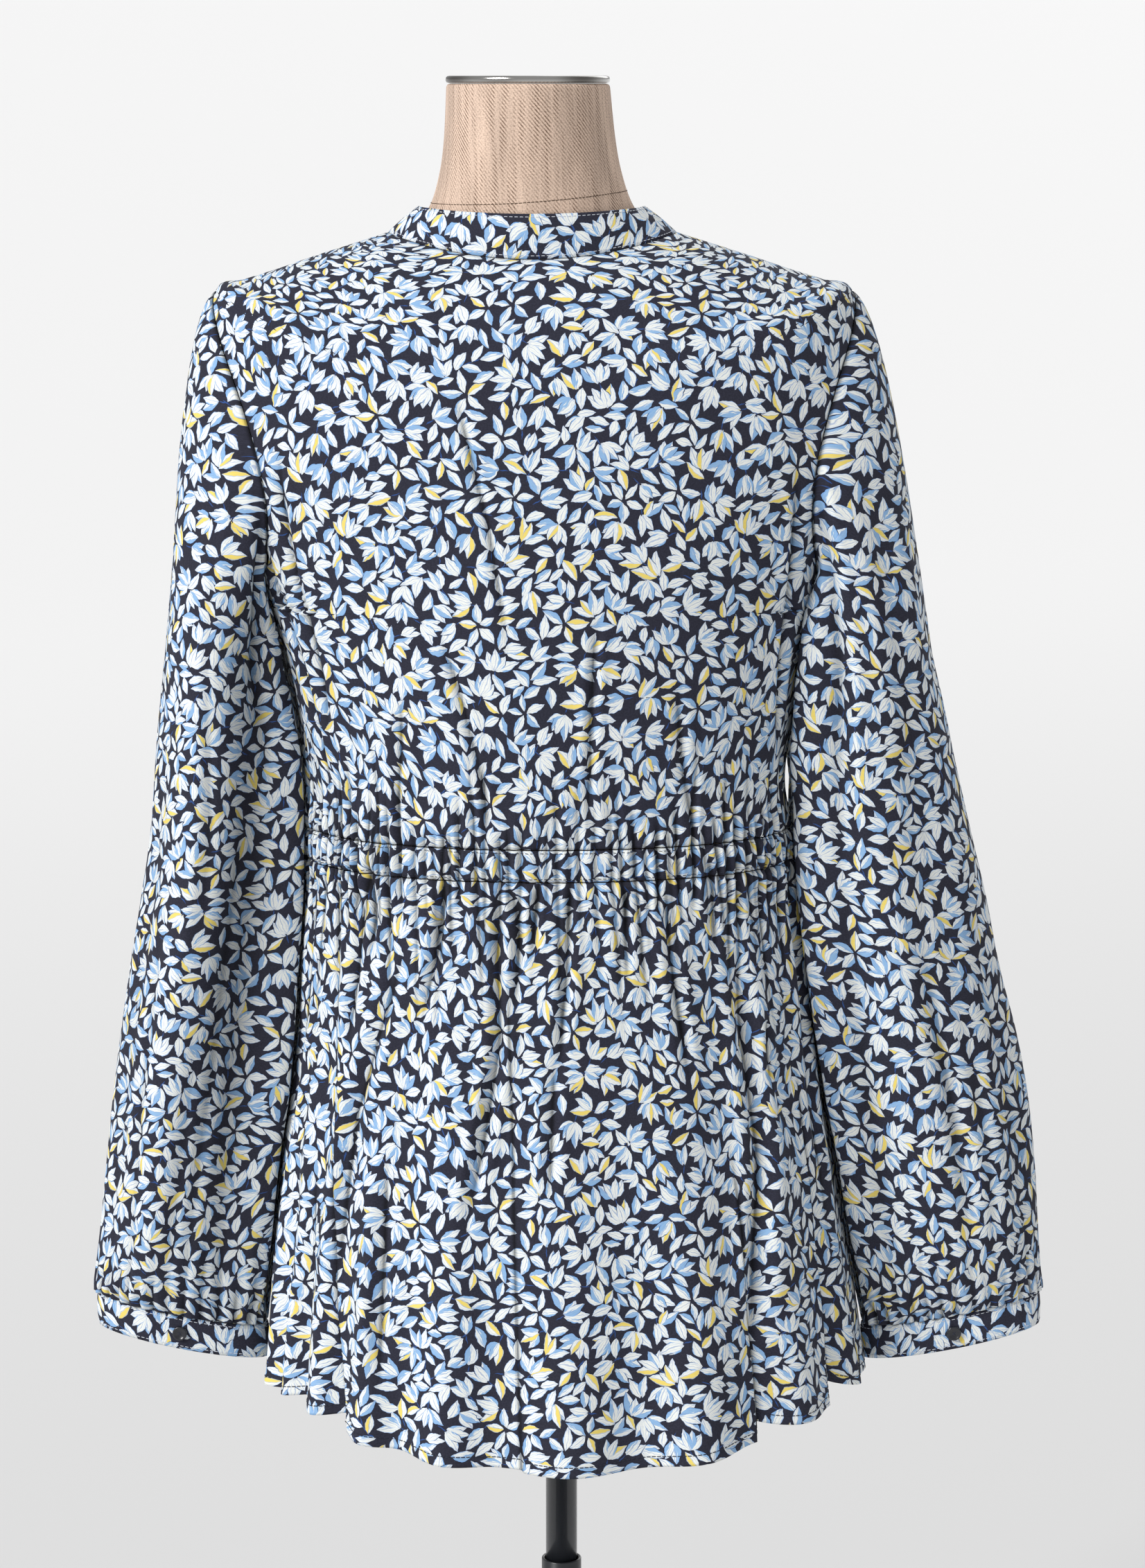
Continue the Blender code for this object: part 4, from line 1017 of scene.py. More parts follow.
def arc_down(rows, own, front, level_row):
    """The arc from the level row down to each point at its own unchanging angle, read from 91 upright
    lines."""
    angle = np.linspace(own.min(), own.max(), 91)
    lines = with_lean(body_panel(angle[None, :] + 0 * rows[:, :1], rows[:, :1] + 0 * angle[None, :], front,
                                 np.zeros((len(rows), 91))))
    arcs = arc_lengths(lines, 0, level_row)
    return np.array([np.interp(places, angle, arc) for places, arc in zip(own, arcs)])


def creases(relief, spacing):
    """The painted shade of each point that lies in a narrow valley, 0 to 1: the relief's second difference
    across the columns, in 1/mm, above a threshold."""
    bend = np.gradient(np.gradient(relief, axis=1), axis=1) / np.maximum(spacing, 0.3) ** 2
    return np.clip((bend - 0.05) / 0.55, 0, 1)


def make_panel(node, front, row_list, columns, low, high, cloth, level_row, fullness, shift, sign=1,
               crowd=1.0,
               lift=0.0, thick=0.6):
    """One panel of the top: its grid, relief, flat cut and mesh. fullness gives the widening of each row from
    the rows' plain lengths. Gives the piece and its surface."""
    rows, own = panel_grid(row_list, columns, low, high, crowd)
    own = sign * own
    relief, painted_crease_shade, rise = body_relief(own, side_edge(rows, front), rows, front, cloth)
    plain = with_lean(body_panel(own, rows, front, 0 * relief))
    grid = with_lean(body_panel(own, rows, front, relief + lift, rise))
    lengths = np.linalg.norm(np.diff(plain, axis=1), axis=-1).sum(axis=1)
    middle = 0 if sign * low[0] > 0 or sign < 0 else columns // 2
    uv = flat_cut(plain, level_row, middle, fullness(lengths)[:, None], shift,
                  arc_down(rows, own, front, level_row))
    return cloth_piece(node, grid, uv, painted_crease_shade, thick=thick), grid


def seam_stitches(name, line, normals, colour, **sizes):
    """A row of stitches a hair above a line of the cloth."""
    return thread_run(name, line + normals * 0.0001, normals, colour, **sizes)


BODICE_ROWS = np.concatenate([np.arange(0, 5, 0.2), np.arange(5, 9, 0.1), np.arange(9, 11.5, 0.11),
                              np.linspace(11.5, 12.985, 24)])
WAIST_FULLNESS = 1.26  # cloth for each length of the gathered waist
CASING_HEIGHT = 0.0195  # in metres
PLACKET_HALF, PLACKET_OUT = 13.0, 4.05  # half width, and how far it lies out from the plain rings, in mm


def bodice_fullness(lengths):
    """Cloth for each length of a bodice row, whatever its length: 1 down to row 9.5, then 3 u^2 - 2 u^3 of
    the way to the waist's fullness at row 13."""
    return 1 + (WAIST_FULLNESS - 1) * smooth(9.5, 13.0, BODICE_ROWS)


def make_bodice(cloth):
    """The back panel from side to side and the two fronts, a gap apart at the middle."""
    edge, last = seam_edges(BODICE_ROWS, False), len(BODICE_ROWS) - 1
    back, _ = make_panel("back_bodice", False, BODICE_ROWS, 361, -edge, edge, cloth, last, bodice_fullness,
                         (0, 0),
                         crowd=1.12)
    edge = seam_edges(BODICE_ROWS, True)
    middle = SEAM_GAP / ring_speed(np.full(len(BODICE_ROWS), np.pi), BODICE_ROWS)
    for node, sign in (("front_bodice_left", 1), ("front_bodice_right", -1)):
        piece, _ = make_panel(node, True, BODICE_ROWS, 121, middle, edge, cloth, last, bodice_fullness,
                              (0.6, 0.3), sign)


def make_placket(cloth):
    """The strip over the front opening: the fronts' surface moved out, with a quarter of their relief. Gives
    its middle line and the normals there."""
    speed = ring_speed(np.full(len(BODICE_ROWS), np.pi), BODICE_ROWS)
    rows, own = panel_grid(BODICE_ROWS, 15, -PLACKET_HALF / speed, PLACKET_HALF / speed)
    flat = body_panel(own, rows, True, 0.0 * own + PLACKET_OUT)
    soft = body_relief(own, side_edge(rows, True), rows, True, cloth)[0] * 0.25
    grid = with_lean(flat + np.stack([0 * soft, -soft, 0 * soft], -1))
    piece = cloth_piece("front_placket", grid, flat_cut(grid, len(grid) - 1, 7, 1.0, (0.7, 0.2)), thick=1.4)
    normals = surface_normals(grid)
    runs = [seam_stitches(f"placket_stitches_{k}", grid[:, c], normals[:, c], "white_thread") for k,
            c in ((1, 1), (2, 13))]
    return grid[:, 7], normals[:, 7]


def make_casings(cloth):
    """The elasticated tunnel, puffed out by 0.2 + 0.9 sin(pi w)^0.7 mm, where w is the way across it."""
    rows = np.linspace(13.011, 13.989, 15)
    for node, front, columns, shift, cut in (("back_casing", False, 401, (0, 0), 0.52),
                                             ("front_casing", True, 301, (0.6, 0.3), 0.53)):
        edge = seam_edges(rows, front)
        lift = 0.2 + 0.9 * np.sin(np.pi * (rows[:, None] - WAIST_TOP)) ** 0.7
        piece, grid = make_panel(node, front, rows, columns, -edge, edge, cloth, 0,
                                 lambda l: WAIST_FULLNESS + 0 * l,
                                 shift, crowd=1.1, lift=np.repeat(lift, columns, axis=1), thick=1.2)
        normals = surface_normals(grid)
        runs = [seam_stitches(f"{node}_stitches_{k}", grid[r], normals[r], "navy_thread") for k,
                r in ((1, 1), (2, 13))]


def make_skirts(cloth):
    """The flared panels. Their cloth is as wide at the hem as at the waist, so row by row it is gathered by
    waist length / row length, and the hem's turn-up stands 0.5 mm out."""
    rows = np.concatenate([np.linspace(14.011, 22.1, 72), np.linspace(22.2, 23, 11)])
    height = np.interp(rows, np.arange(len(BODY)), BODY[:, 0]) - BODY[HEM, 0]
    turn_up = 0.5 * smooth(cloth.hem_height + 0.8, cloth.hem_height - 0.4, height)
    for node, front, columns, x, cut, area in (("back_skirt", False, 531, 0.0, (0.52, 0.353), 0.178),
                                               ("front_skirt", True, 341, 0.6, (0.53, 0.356), 0.182)):
        edge = seam_edges(rows, front)
        piece, grid = make_panel(node, front, rows, columns, -edge, edge, cloth, 0,
                                 lambda l: WAIST_FULLNESS * l[0] / l,
                                 (x, (0.3 if front else 0) - CASING_HEIGHT),
                                 crowd=1.1, lift=np.repeat(turn_up[:, None], columns, axis=1))
        normals = surface_normals(grid)
        at = int(np.argmin(np.abs(height - cloth.hem_height)))
        run = seam_stitches(f"{node}_hem_stitches", grid[at], normals[at], "navy_thread", length=2.6,
                            thick=0.6)


def make_collar():
    """A band between the neckline and its top edge, bowed out a little at mid height."""
    angle = np.linspace(-np.pi + 0.004, np.pi - 0.004, 181)
    share = np.linspace(0.012, 1.0, 15)
    grid = []
    for row, s in zip(BODY[0] + (COLLAR_TOP - BODY[0]) * share[:, None], share):
        points, normals = ring_point(np.array([row, row]), angle, np.zeros(len(angle)))
        bow = 0.9 * math.sin(math.pi * s) + 0.35 * ripple(angle * 7, 21) * s
        grid.append(points + normals * bow[:, None])
    grid = with_lean(np.array(grid))
    piece = cloth_piece("collar", grid, flat_cut(grid, 0, 90, 1.0, (0.4, 0.77)), thick=1.5)
    normals = surface_normals(grid)
    runs = [seam_stitches(f"collar_stitches_{k}", grid[r], normals[r], "white_thread") for k,
            r in ((1, 1), (2, 13))]


def body_row_at(angle, z):
    """The fractional row where the top's surface has this height: linear between the two rows that hold
    it."""
    cos, sin2 = np.cos(angle), np.sin(angle) ** 2
    middle = np.where(cos[..., None] > 0, BODY[:, 0], BODY[:, 2])
    heights = middle + (BODY[:, 1] - middle) * sin2[..., None]
    low = np.clip((heights > z[..., None]).sum(-1) - 1, 0, len(BODY) - 2)
    above = np.take_along_axis(heights, low[..., None], -1)[..., 0]
    under = np.take_along_axis(heights, low[..., None] + 1, -1)[..., 0]
    return np.clip(low + (above - z) / np.maximum(above - under, 1e-6), 0, len(BODY) - 1)


def clear_of_body(points, wave_height):
    """Moves each point of a sleeve out along the body's level normal until it has the least room."""
    moved = points.copy()
    for _ in range(4):
        row = body_row_at(np.full(moved.shape[:-1], np.pi / 2), moved[..., 2])
        sizes = table_at(BODY, row)
        depth = np.where(moved[..., 1] > 0, sizes[..., 4], sizes[..., 5])
        angle = np.arctan2(moved[..., 0] / sizes[..., 3], moved[..., 1] / depth)
        row = body_row_at(angle, moved[..., 2])
        front = np.abs(angle) > np.pi / 2
        own = np.where(front, np.sign(angle) * (np.pi - np.abs(angle)), angle)
        out = np.where(front, swell(own, row, True, wave_height), swell(own, row, False, wave_height))
        surface, normals = ring_point(BODY, angle, row)
        apart = ((moved - surface) * normals).sum(-1) - out
        below = np.clip((BODY[UNDERARM, 1] - moved[..., 2]) / 20.0, 0, 1)
        push = np.maximum(SLEEVE_REACH * below - apart, 0) * (below > 0)
        moved += normals * push[..., None]
    return moved


def armhole(count, sign):
    """The armhole as a closed ring: shoulder, down the back, underarm, up the front, at even arc lengths."""
    rows = np.linspace(SHOULDER_TIP, UNDERARM, 161)
    back, _ = ring_point(BODY, side_edge(rows, False), rows)
    front, _ = ring_point(BODY, np.pi - side_edge(rows, True), rows)
    share, whole = np.linspace(0, 1, count // 2 + 1), []
    for line in (back, front[::-1]):
        gone = running_length(line)
        whole.append(read_along(share * gone[-1], gone, line)[:-1])
    ring = np.concatenate(whole)
    ring[:, 0] *= sign
    return ring


def sleeve_rings(rows, turn, sign):
    """Level rings of a sleeve: middle + half width cos t, middle + half depth sin t, tilted near the cuff."""
    z, left, right, inner, mid, half_depth = np.moveaxis(table_at(SLEEVE, np.asarray(rows, float)), -1, 0)
    outer = left if sign > 0 else right
    half_width = (outer - inner)[:, None] / 2
    x = (outer + inner)[:, None] / 2 + half_width * np.cos(turn)
    y = mid[:, None] + half_depth[:, None] * np.sin(turn)
    tilt = CUFF_TILT * np.clip((np.asarray(rows, float) - TILT_FROM) / (TILT_FULL - TILT_FROM), 0, 1) ** 1.5
    return np.stack([sign * x, y, z[:, None] + tilt[:, None] * half_width * np.cos(turn)], -1)


def sleeve_relief(side, turn, z, height):
    """Long folds of one sleeve, its slack, and the pleats that gather it into the cuff. Gives the relief, the
    painted shade that stands for the light the folds keep out, and the relief of the long folds alone."""
    degrees = np.degrees(turn)[None, :] + 0 * z
    relief, dark = np.zeros((2,) + z.shape)
    for fold_side, place, drift, width, depth, first, last in SLEEVE_FOLDS:
        if fold_side == side:
            along = np.clip((first - z) / (first - last), 0, 1)
            away = (degrees - place - drift * along + 180) % 360 - 180
            ends = np.sin(np.pi * along) ** 0.7
            relief -= depth * np.exp(-((away / width) ** 2)) * ends
            # Painted shade in the fold's valley.
            dark += np.clip(depth / 22, 0, 0.6) * np.exp(-((away / width) ** 2)) * ends
    long_folds = relief.copy()
    seed = 41 if side == "left" else 51
    slack = ripple(turn[None, :] * 5 + z / 160, seed) * ripple(z / 34 + np.cos(turn)[None, :] * 2.4, seed + 1)
    relief += 0.8 * slack * smooth(-170, -260, z)
    reach = 20 + 26 * (0.5 + 0.5 * ripple(np.sin(turn)[None, :] * 6 + np.cos(turn)[None, :] * 5, seed + 2))
    up = np.maximum(z + 757, 0)
    count = 34
    fine = 2 * np.abs(np.sin(count * turn[None, :] / 2 + 0.9 * np.sin(3 * turn[None, :] + seed))) ** 0.7 - 1
    relief += height * fine * np.exp(-((up / reach) ** 1.3)) + 1.2 * np.exp(-(((up - 12) / 10) ** 2))
    return relief, dark, long_folds


def make_sleeve(side, cloth):
    """A tube from the armhole over a curved cap, as a Hermite curve for each column, then down ring by ring
    to the cuff. Its seam is at the inner side."""
    sign, count = (1 if side == "left" else -1), 160
    turn = np.linspace(0, 2 * np.pi, count, endpoint=False)
    start = armhole(count, sign)
    level = sleeve_rings(np.concatenate([np.arange(0, 9, 0.09), np.linspace(9, 12, 22)]), turn, sign)
    level = clear_of_body(level * (sign, 1, 1), cloth.wave_height) * (sign, 1, 1)
    end = level[0]
    reach = np.linalg.norm(end - start, axis=1)[:, None] / 222.0
    lateral = 0.86 + 0.07 * np.cos(2 * turn)
    leave = np.stack([sign * lateral, 0.22 * np.sin(turn), -0.45 + 0.08 * np.cos(turn)], -1) * 64.0 * reach
    arrive = np.array([sign * 25.0, 0, -200.0]) * reach
    t = (np.linspace(0, 1, 61)[:-1] ** 1.1)[:, None, None]
    cap = (start * (2 * t**3 - 3 * t**2 + 1) + leave * (t**3 - 2 * t**2 + t)
           + end * (3 * t**2 - 2 * t**3) + arrive * (t**3 - t**2))
    cap[0] += leave / np.linalg.norm(leave, axis=1, keepdims=True) * 0.4
    grid = np.concatenate([cap, level])
    ease = smooth(0, 14, np.linalg.norm(grid - grid[0], axis=-1))
    around = np.stack([sign * np.cos(turn), np.sin(turn), 0 * turn], -1)
    relief, dark, long_folds = sleeve_relief(side, turn, grid[..., 2], cloth.cuff_pleat_height)
    relief *= ease
    plain = with_lean(np.roll(grid + around[None] * (long_folds * ease)[..., None], count // 2, axis=1))
    plain = np.concatenate([plain, plain[:, :1]], axis=1)
    gap = np.linalg.norm(np.roll(grid, -1, axis=1) - grid, axis=-1)
    # Painted shade along the armhole seam, where the sleeve meets the body; with the folds' painted shade it
    # makes the crease mask.
    dark += 0.85 * np.exp(-((np.linalg.norm(grid - grid[0], axis=-1) / 1.8) ** 2))
    painted_crease_shade = dark + creases(np.tile(relief, 3), np.tile(gap, 3))[:, count : 2 * count]
    painted_crease_shade = np.roll(np.clip(painted_crease_shade, 0, 1), count // 2, axis=1)
    grid = clear_of_body((grid + around[None] * relief[..., None]) * (sign, 1, 1), cloth.wave_height) * (sign,
                                                                                                         1, 1)
    grid[-1, :, 2] += 0.2
    grid = with_lean(np.roll(grid, count // 2, axis=1))
    fullness = 1 + 0.3 * smooth(CAP_TOP - 640, CAP_TOP - 757, plain[:, :1, 2] / MM)
    uv = flat_cut(plain, len(cap), count // 2, fullness, (1.1 if sign > 0 else 1.7, 0.5))
    centre = grid[-1].mean(axis=0)[:2]
    piece = cloth_piece("sleeve_" + side, grid, uv, painted_crease_shade, True, (centre[0] * 0.87, centre[1]))


def make_cuff(side):
    """A narrow band below the sleeve, with two rows of stitching."""
    sign, count = (1 if side == "left" else -1), 120
    turn = np.linspace(0, 2 * np.pi, count, endpoint=False)
    top = sleeve_rings([len(SLEEVE) - 1], turn, sign)[0]
    drop = np.linspace(0, 1, 11)
    bow = (0.5 + 0.3 * ripple(turn * 9, 61)[None, :]) * np.sin(np.pi * drop)[:, None]
    around = np.stack([sign * np.cos(turn), np.sin(turn), 0 * turn], -1)
    grid = top[None] + np.array([0, 0, -1.0]) * (0.2 + CUFF_DROP * drop)[:, None, None] + around * bow[...,
                                                                                                       None]
    grid = with_lean(np.roll(grid, count // 2, axis=1))
    closed = np.concatenate([grid, grid[:, :1]], axis=1)
    centre = grid.reshape(-1, 3).mean(axis=0)[:2]
    uv = flat_cut(closed, 0, count // 2, 1.0, (0.2 * sign, 0.3))
    piece = cloth_piece("cuff_" + side, grid, uv, None, True, centre, thick=1.5)
    normals = surface_normals(grid, True, centre)
    ring = np.arange(count + 1) % count
    runs = [seam_stitches(f"cuff_{side}_stitches_{k}", grid[r, ring], normals[r, ring], "white_thread")
            for k, r in ((1, 1), (2, 9))]
    at = (count // 2 + round(count * 0.25)) % count
    sew_button("cuff_button_" + side, grid[5, at], normals[5, at], 0.35)


def sew_button(node, place, out, lift):
    """A sewn-through button: a turned disc with a raised rim and a cross of thread."""
    out = out / np.linalg.norm(out)
    start = place + out * lift * MM
    profile = [(0, 0), (4.1, 0), (4.5, 0.5), (4.5, 1.5), (4.3, 2.0), (3.8, 2.2), (3.3, 2.05), (2.9, 1.6),
               (0, 1.5)]
    disc = turned(node + "_disc", profile, 40, finish("dark_button"), start, out)
    stand_for(disc, node, "form")
    side = np.cross([0, 0, 1], out)
    side /= np.linalg.norm(side)
    up = np.cross(out, side)
    centre = start + out * 1.55 * MM
    for k, (a, b) in enumerate(((1, 1), (1, -1))):
        line = (a * side + b * up) / math.sqrt(2)
        path = np.stack([centre - line * 1.5 * MM, centre + line * 1.5 * MM])
        thread_run(f"{node}_thread_{k + 1}", path, np.stack([out, out]), "navy_thread", pitch=3.2, length=3.0,
                   thick=0.5)


def make_front_buttons(line, normals):
    """Five buttons at even lengths down the placket's middle line."""
    gone = running_length(line)
    for number, share in enumerate(np.linspace(0.05, 0.93, 5)):
        place, out = (read_along(share * gone[-1], gone, values) for values in (line, normals))
        sew_button(f"front_button_{number + 1}", place, out, 0.4)


def make_bust():
    """The covered bust: closely set rings between a flat top, its rim rounded as a quarter circle, and a flat
    bottom, one closed skin."""
    rows = np.concatenate([[0, 0.02, 0.05, 0.09], np.linspace(0.14, 5, 45), np.arange(5.2, 22, 0.25),
                           [22]])[:, None]
    turn = np.linspace(-np.pi, np.pi, 121)[None, :-1]
    rows, angle = np.broadcast_arrays(rows, turn)
    points, normals = ring_point(FORM, angle, rows)
    points -= normals * 2.6 * (1 - np.sqrt(1 - np.clip(1 - rows / 0.12, 0, 1) ** 2))[..., None]
    ends = [points[0].mean(axis=0), points[-1].mean(axis=0)]
    inner = [[end + (ring - end) * s for s in shares] for end, ring, shares in
             ((ends[0], points[0], (0.02, 0.6)), (ends[1], points[-1], (0.6, 0.02)))]
    grid = with_lean(np.concatenate([inner[0], points, inner[1]]))
    closed = np.concatenate([grid, grid[:, :1]], axis=1)
    bust, _ = lay_grid("bust_cover", grid, flat_cut(closed, 2, 60), finish("natural_linen"), True)
    stand_for(bust, "dress_form", "form")
    angle = np.linspace(0, 2 * np.pi, 121)
    seam, normals = ring_point(FORM, angle, 2.62 + 0.21 * np.sin(angle) + 0.08 * np.sin(angle) ** 2)
    thread_run("bust_cover_seam", with_lean(seam + normals * 0.05), normals, "brown_thread", pitch=2.4,
               length=2.0,
               thick=0.5)


def make_cap():
    """The neck cap: a shallow turned lid with a rounded rim."""
    profile = [(0, -4.2), (46.8, -4.2), (48.2, -3.9), (48.7, -3.2), (48.8, -2.2), (48.6, -1.0), (47.9, -0.25),
               (46.6, 0), (0, 0)]
    cap = turned("neck_cap_chrome", profile, 96, finish("polished_chrome"), with_lean(np.zeros(3)))
    stand_for(cap, "neck_cap", "form")


def make_stand():
    """Mast, tube, clamp, knob and base as turned pieces."""
    steel = finish("black_painted_steel")
    tube_top, plate, foot = CAP_TOP - 917.0, CAP_TOP - 620.3, 10.3
    low, high = tube_top - 48, tube_top - 22
    turned_pieces = {
        "mast": ("mast", [(0, tube_top - 200), (9.25, tube_top - 200), (9.75, tube_top - 199.5),
                          (9.75, plate - 5.0),
                          (44.4, plate - 5.0), (45, plate - 4.4), (45, plate - 0.6), (44.4, plate),
                          (0, plate)]),
        "outer_tube": ("stand", [(0, foot), (29.5, foot), (30, foot + 0.5), (30, foot + 5), (28.5, foot + 6),
                                 (14, foot + 9), (12.4, foot + 12), (12.4, tube_top - 0.5), (12.0, tube_top),
                                 (11.0, tube_top), (10.6, tube_top - 0.4), (10.6, foot + 12),
                                 (0, foot + 12)]),
        "base_disc": ("stand", [(0, 0), (148.5, 0), (149.6, 0.8), (150, 2), (150, 7), (149.2, 8.6),
                                (146.5, 10),
                                (0, 10)]),
    }
    for node, (body, profile) in turned_pieces.items():
        piece = turned(node + "_steel", profile, 72, steel)
        stand_for(piece, node, body)
    ring = [(12.7, low), (17.8, low), (18.4, low + 0.6), (18.4, high - 0.6), (17.8, high), (12.7, high)]
    turn = np.linspace(0, 2 * np.pi, 72, endpoint=False)
    shape = np.array(ring + ring[:1])
    grid = np.stack([shape[:, :1] * np.cos(turn), shape[:, :1] * np.sin(turn), shape[:, 1:] + 0 * turn],
                    -1) * MM
    faces = ring_quads(len(ring), len(turn), True)
    collar = new_object("clamp_collar_steel", grid[:-1].reshape(-1, 3), faces, None, steel)
    stand_for(collar, "clamp_collar", "stand")
    profile = [(0, 0), (4, 0), (4, 6), (10.5, 6.6), (11.6, 7.4), (12, 8.6), (12, 17.5), (11.2, 19.6),
               (9.6, 21),
               (6, 20.4), (0, 20.2)]
    knob = turned("clamp_knob_steel", profile, 48, steel, (0, -18.7 * MM, (low + high) / 2 * MM), (0, -1, 0))
    stand_for(knob, "clamp_knob", "stand")


def soft_sun(name, towards, strength, degrees):
    """A broad, even light from a direction, softened over an angle."""
    data = bpy.data.lights.new(name, "SUN")
    data.energy, data.angle = strength, math.radians(degrees)
    light = bpy.data.objects.new(name, data)
    bpy.context.scene.collection.objects.link(light)
    light.rotation_euler = Vector(towards).to_track_quat("Z", "Y").to_euler()


def make_stage(stage):
    """A pale round floor that rises very slowly, 2.4 ((r - 4) / 26)^2, soft lights, sky and the camera."""
    radius = np.concatenate([[0.01, 1, 2, 3], np.linspace(4, 30, 40)])[:, None]
    height = 2.4 * (np.maximum(radius - 4, 0) / 26) ** 2 - 0.0006
    turn = np.linspace(0, 2 * np.pi, 97)[None, :-1]
    grid = np.stack([radius * np.cos(turn), radius * np.sin(turn), height + 0 * turn], -1)
    faces = ring_quads(*grid.shape[:2])[:, [0, 3, 2, 1]].tolist() + [list(range(grid.shape[1]))]
    floor = new_object("floor", grid.reshape(-1, 3), faces, None, pale_floor(stage.floor))

    world = bpy.data.worlds.new("soft_sky")
    bpy.context.scene.world = world
    world.use_nodes = True
    world.node_tree.nodes["Background"].inputs["Color"].default_value = (*linear(stage.sky), 1)
    world.node_tree.nodes["Background"].inputs["Strength"].default_value = stage.sky_strength
    soft_sun("key", (0.62, 0.56, 0.55), stage.key_strength, 26)
    soft_sun("far", (-0.35, -0.8, 0.5), stage.far_strength, 40)
    paths = bpy.context.scene.cycles
    paths.max_bounces, paths.diffuse_bounces, paths.glossy_bounces = 4, 2, 2
    data = bpy.data.cameras.new("camera")
    data.sensor_width, data.lens, data.clip_end = 36, PHOTO_FOCAL / PHOTO_HEIGHT * 36, 60
    camera = bpy.data.objects.new("camera", data)
    bpy.context.scene.collection.objects.link(camera)
    camera.location = CAMERA_PLACE
    camera.rotation_euler = (math.radians(90 - CAMERA_DROP), 0, math.radians(180))
    bpy.context.scene.camera = camera
    bpy.context.scene.view_settings.view_transform = "Standard"


# ---- settings ----------------------------------------------------------------------------------------------

def colour_setting(name, description, default):
    """A colour among the settings."""
    return bpy.props.FloatVectorProperty(name=name, description=description, default=default, size=3, min=0,
                                         max=1,
                                         subtype="COLOR_GAMMA")


class TopCloth(bpy.types.PropertyGroup):
    wave_height: bpy.props.FloatProperty(name="Hem waves", description="Half height of the hem's waves in mm",
                                         default=6.0, min=0, max=12)
    pleat_height: bpy.props.FloatProperty(name="Waist gathers",
                                          description="Half height of the waist's gathers in mm",
                                          default=1.5, min=0, max=3)
    cuff_pleat_height: bpy.props.FloatProperty(name="Cuff gathers", default=2.1, min=0, max=3,
                                               description="Half height of the gathers over the cuffs in mm")
    hem_height: bpy.props.FloatProperty(name="Hem turn-up", description="Height of the stitched hem in mm",
                                        default=9.0, min=4, max=20)


class TopPrint(bpy.types.PropertyGroup):
    tile: bpy.props.FloatProperty(name="Repeat", description="Side of the print's repeat", default=0.24,
                                  min=0.1,
                                  max=0.4, unit="LENGTH")
    leaf_length: bpy.props.FloatProperty(name="Leaf length", description="Usual length of a leaf",
                                         default=0.0146,
                                         min=0.008, max=0.0152, unit="LENGTH")
    leaf_width: bpy.props.FloatProperty(name="Leaf width", description="Usual width of a leaf",
                                        default=0.0064,
                                        min=0.003, max=0.009, unit="LENGTH")
    # Painted shade: how much the crease mask darkens the print's colour in the folds.
    painted_shade_strength: bpy.props.FloatProperty(name="Crease shade",
                                          description="How much darker the cloth is in its folds",
                                          default=0.86, min=0, max=1)
    ground: colour_setting("Ground", "Charcoal navy between the leaves", (0.165, 0.168, 0.215))
    stem: colour_setting("Stems", "Thin mid blue stems", (0.2, 0.32, 0.55))
    outline: colour_setting("Outline", "Dark edge round each leaf", (0.13, 0.16, 0.26))
    white: colour_setting("Leaf white", "Pale body of a leaf", (0.93, 0.94, 0.92))
    blue: colour_setting("Leaf blue", "Light blue half of a leaf", (0.57, 0.72, 0.87))
    vein: colour_setting("Vein", "Thin lines in a leaf", (0.5, 0.61, 0.8))
    rim: colour_setting("Rim", "Brighter blue along a leaf's edge", (0.46, 0.64, 0.88))
    yellow: colour_setting("Leaf yellow", "Yellow half of a few leaves", (0.93, 0.84, 0.45))
    button: colour_setting("Buttons", "Dark navy of the buttons", (0.09, 0.1, 0.14))


class TopStand(bpy.types.PropertyGroup):
    linen: colour_setting("Linen", "Sand colour of the bust's cover", (0.955, 0.84, 0.755))
    linen_dark: colour_setting("Linen lines", "Dark twill lines of the cover", (0.4, 0.3, 0.235))
    steel: colour_setting("Steel", "Black paint of the stand", (0.14, 0.15, 0.17))


class TopStage(bpy.types.PropertyGroup):
    floor: colour_setting("Floor", "Pale floor, where it is lightest", (0.935, 0.935, 0.935))
    sky: colour_setting("Sky", "Colour of the light from all round", (1.0, 1.0, 1.0))
    sky_strength: bpy.props.FloatProperty(name="Sky strength", description="Light from all round",
                                          default=0.5, min=0)
    key_strength: bpy.props.FloatProperty(name="Key light", description="Strength of the main light",
                                          default=2.6, min=0)
    far_strength: bpy.props.FloatProperty(name="Far light",
                                          description="Strength of the light on the far side",
                                          default=0.5, min=0)


# ---- operators ---------------------------------------------------------------------------------------------

class DRESS_OT_bodice(bpy.types.Operator):
    """Lays the back and front panels between the neckline and the waist"""

    bl_idname, bl_label = "dress.bodice", "Bodice"

    def execute(self, context):
        make_bodice(context.scene.top_cloth)
        return {"FINISHED"}


class DRESS_OT_placket(bpy.types.Operator):
    """Lays the placket and sews its five buttons"""

    bl_idname, bl_label = "dress.placket", "Placket and buttons"

    def execute(self, context):
        make_front_buttons(*make_placket(context.scene.top_cloth))
        return {"FINISHED"}


class DRESS_OT_collar(bpy.types.Operator):
    """Stands the band collar on the neckline"""

    bl_idname, bl_label = "dress.collar", "Collar"

    def execute(self, context):
        make_collar()
        return {"FINISHED"}


class DRESS_OT_casing(bpy.types.Operator):
    """Lays the elasticated casing round the waist"""

    bl_idname, bl_label = "dress.casing", "Waist casing"

    def execute(self, context):
        make_casings(context.scene.top_cloth)
        return {"FINISHED"}


class DRESS_OT_skirt(bpy.types.Operator):
    """Hangs the flared skirt panels with their gathers, waves and hem"""

    bl_idname, bl_label = "dress.skirt", "Skirt"

    def execute(self, context):
        make_skirts(context.scene.top_cloth)
        return {"FINISHED"}


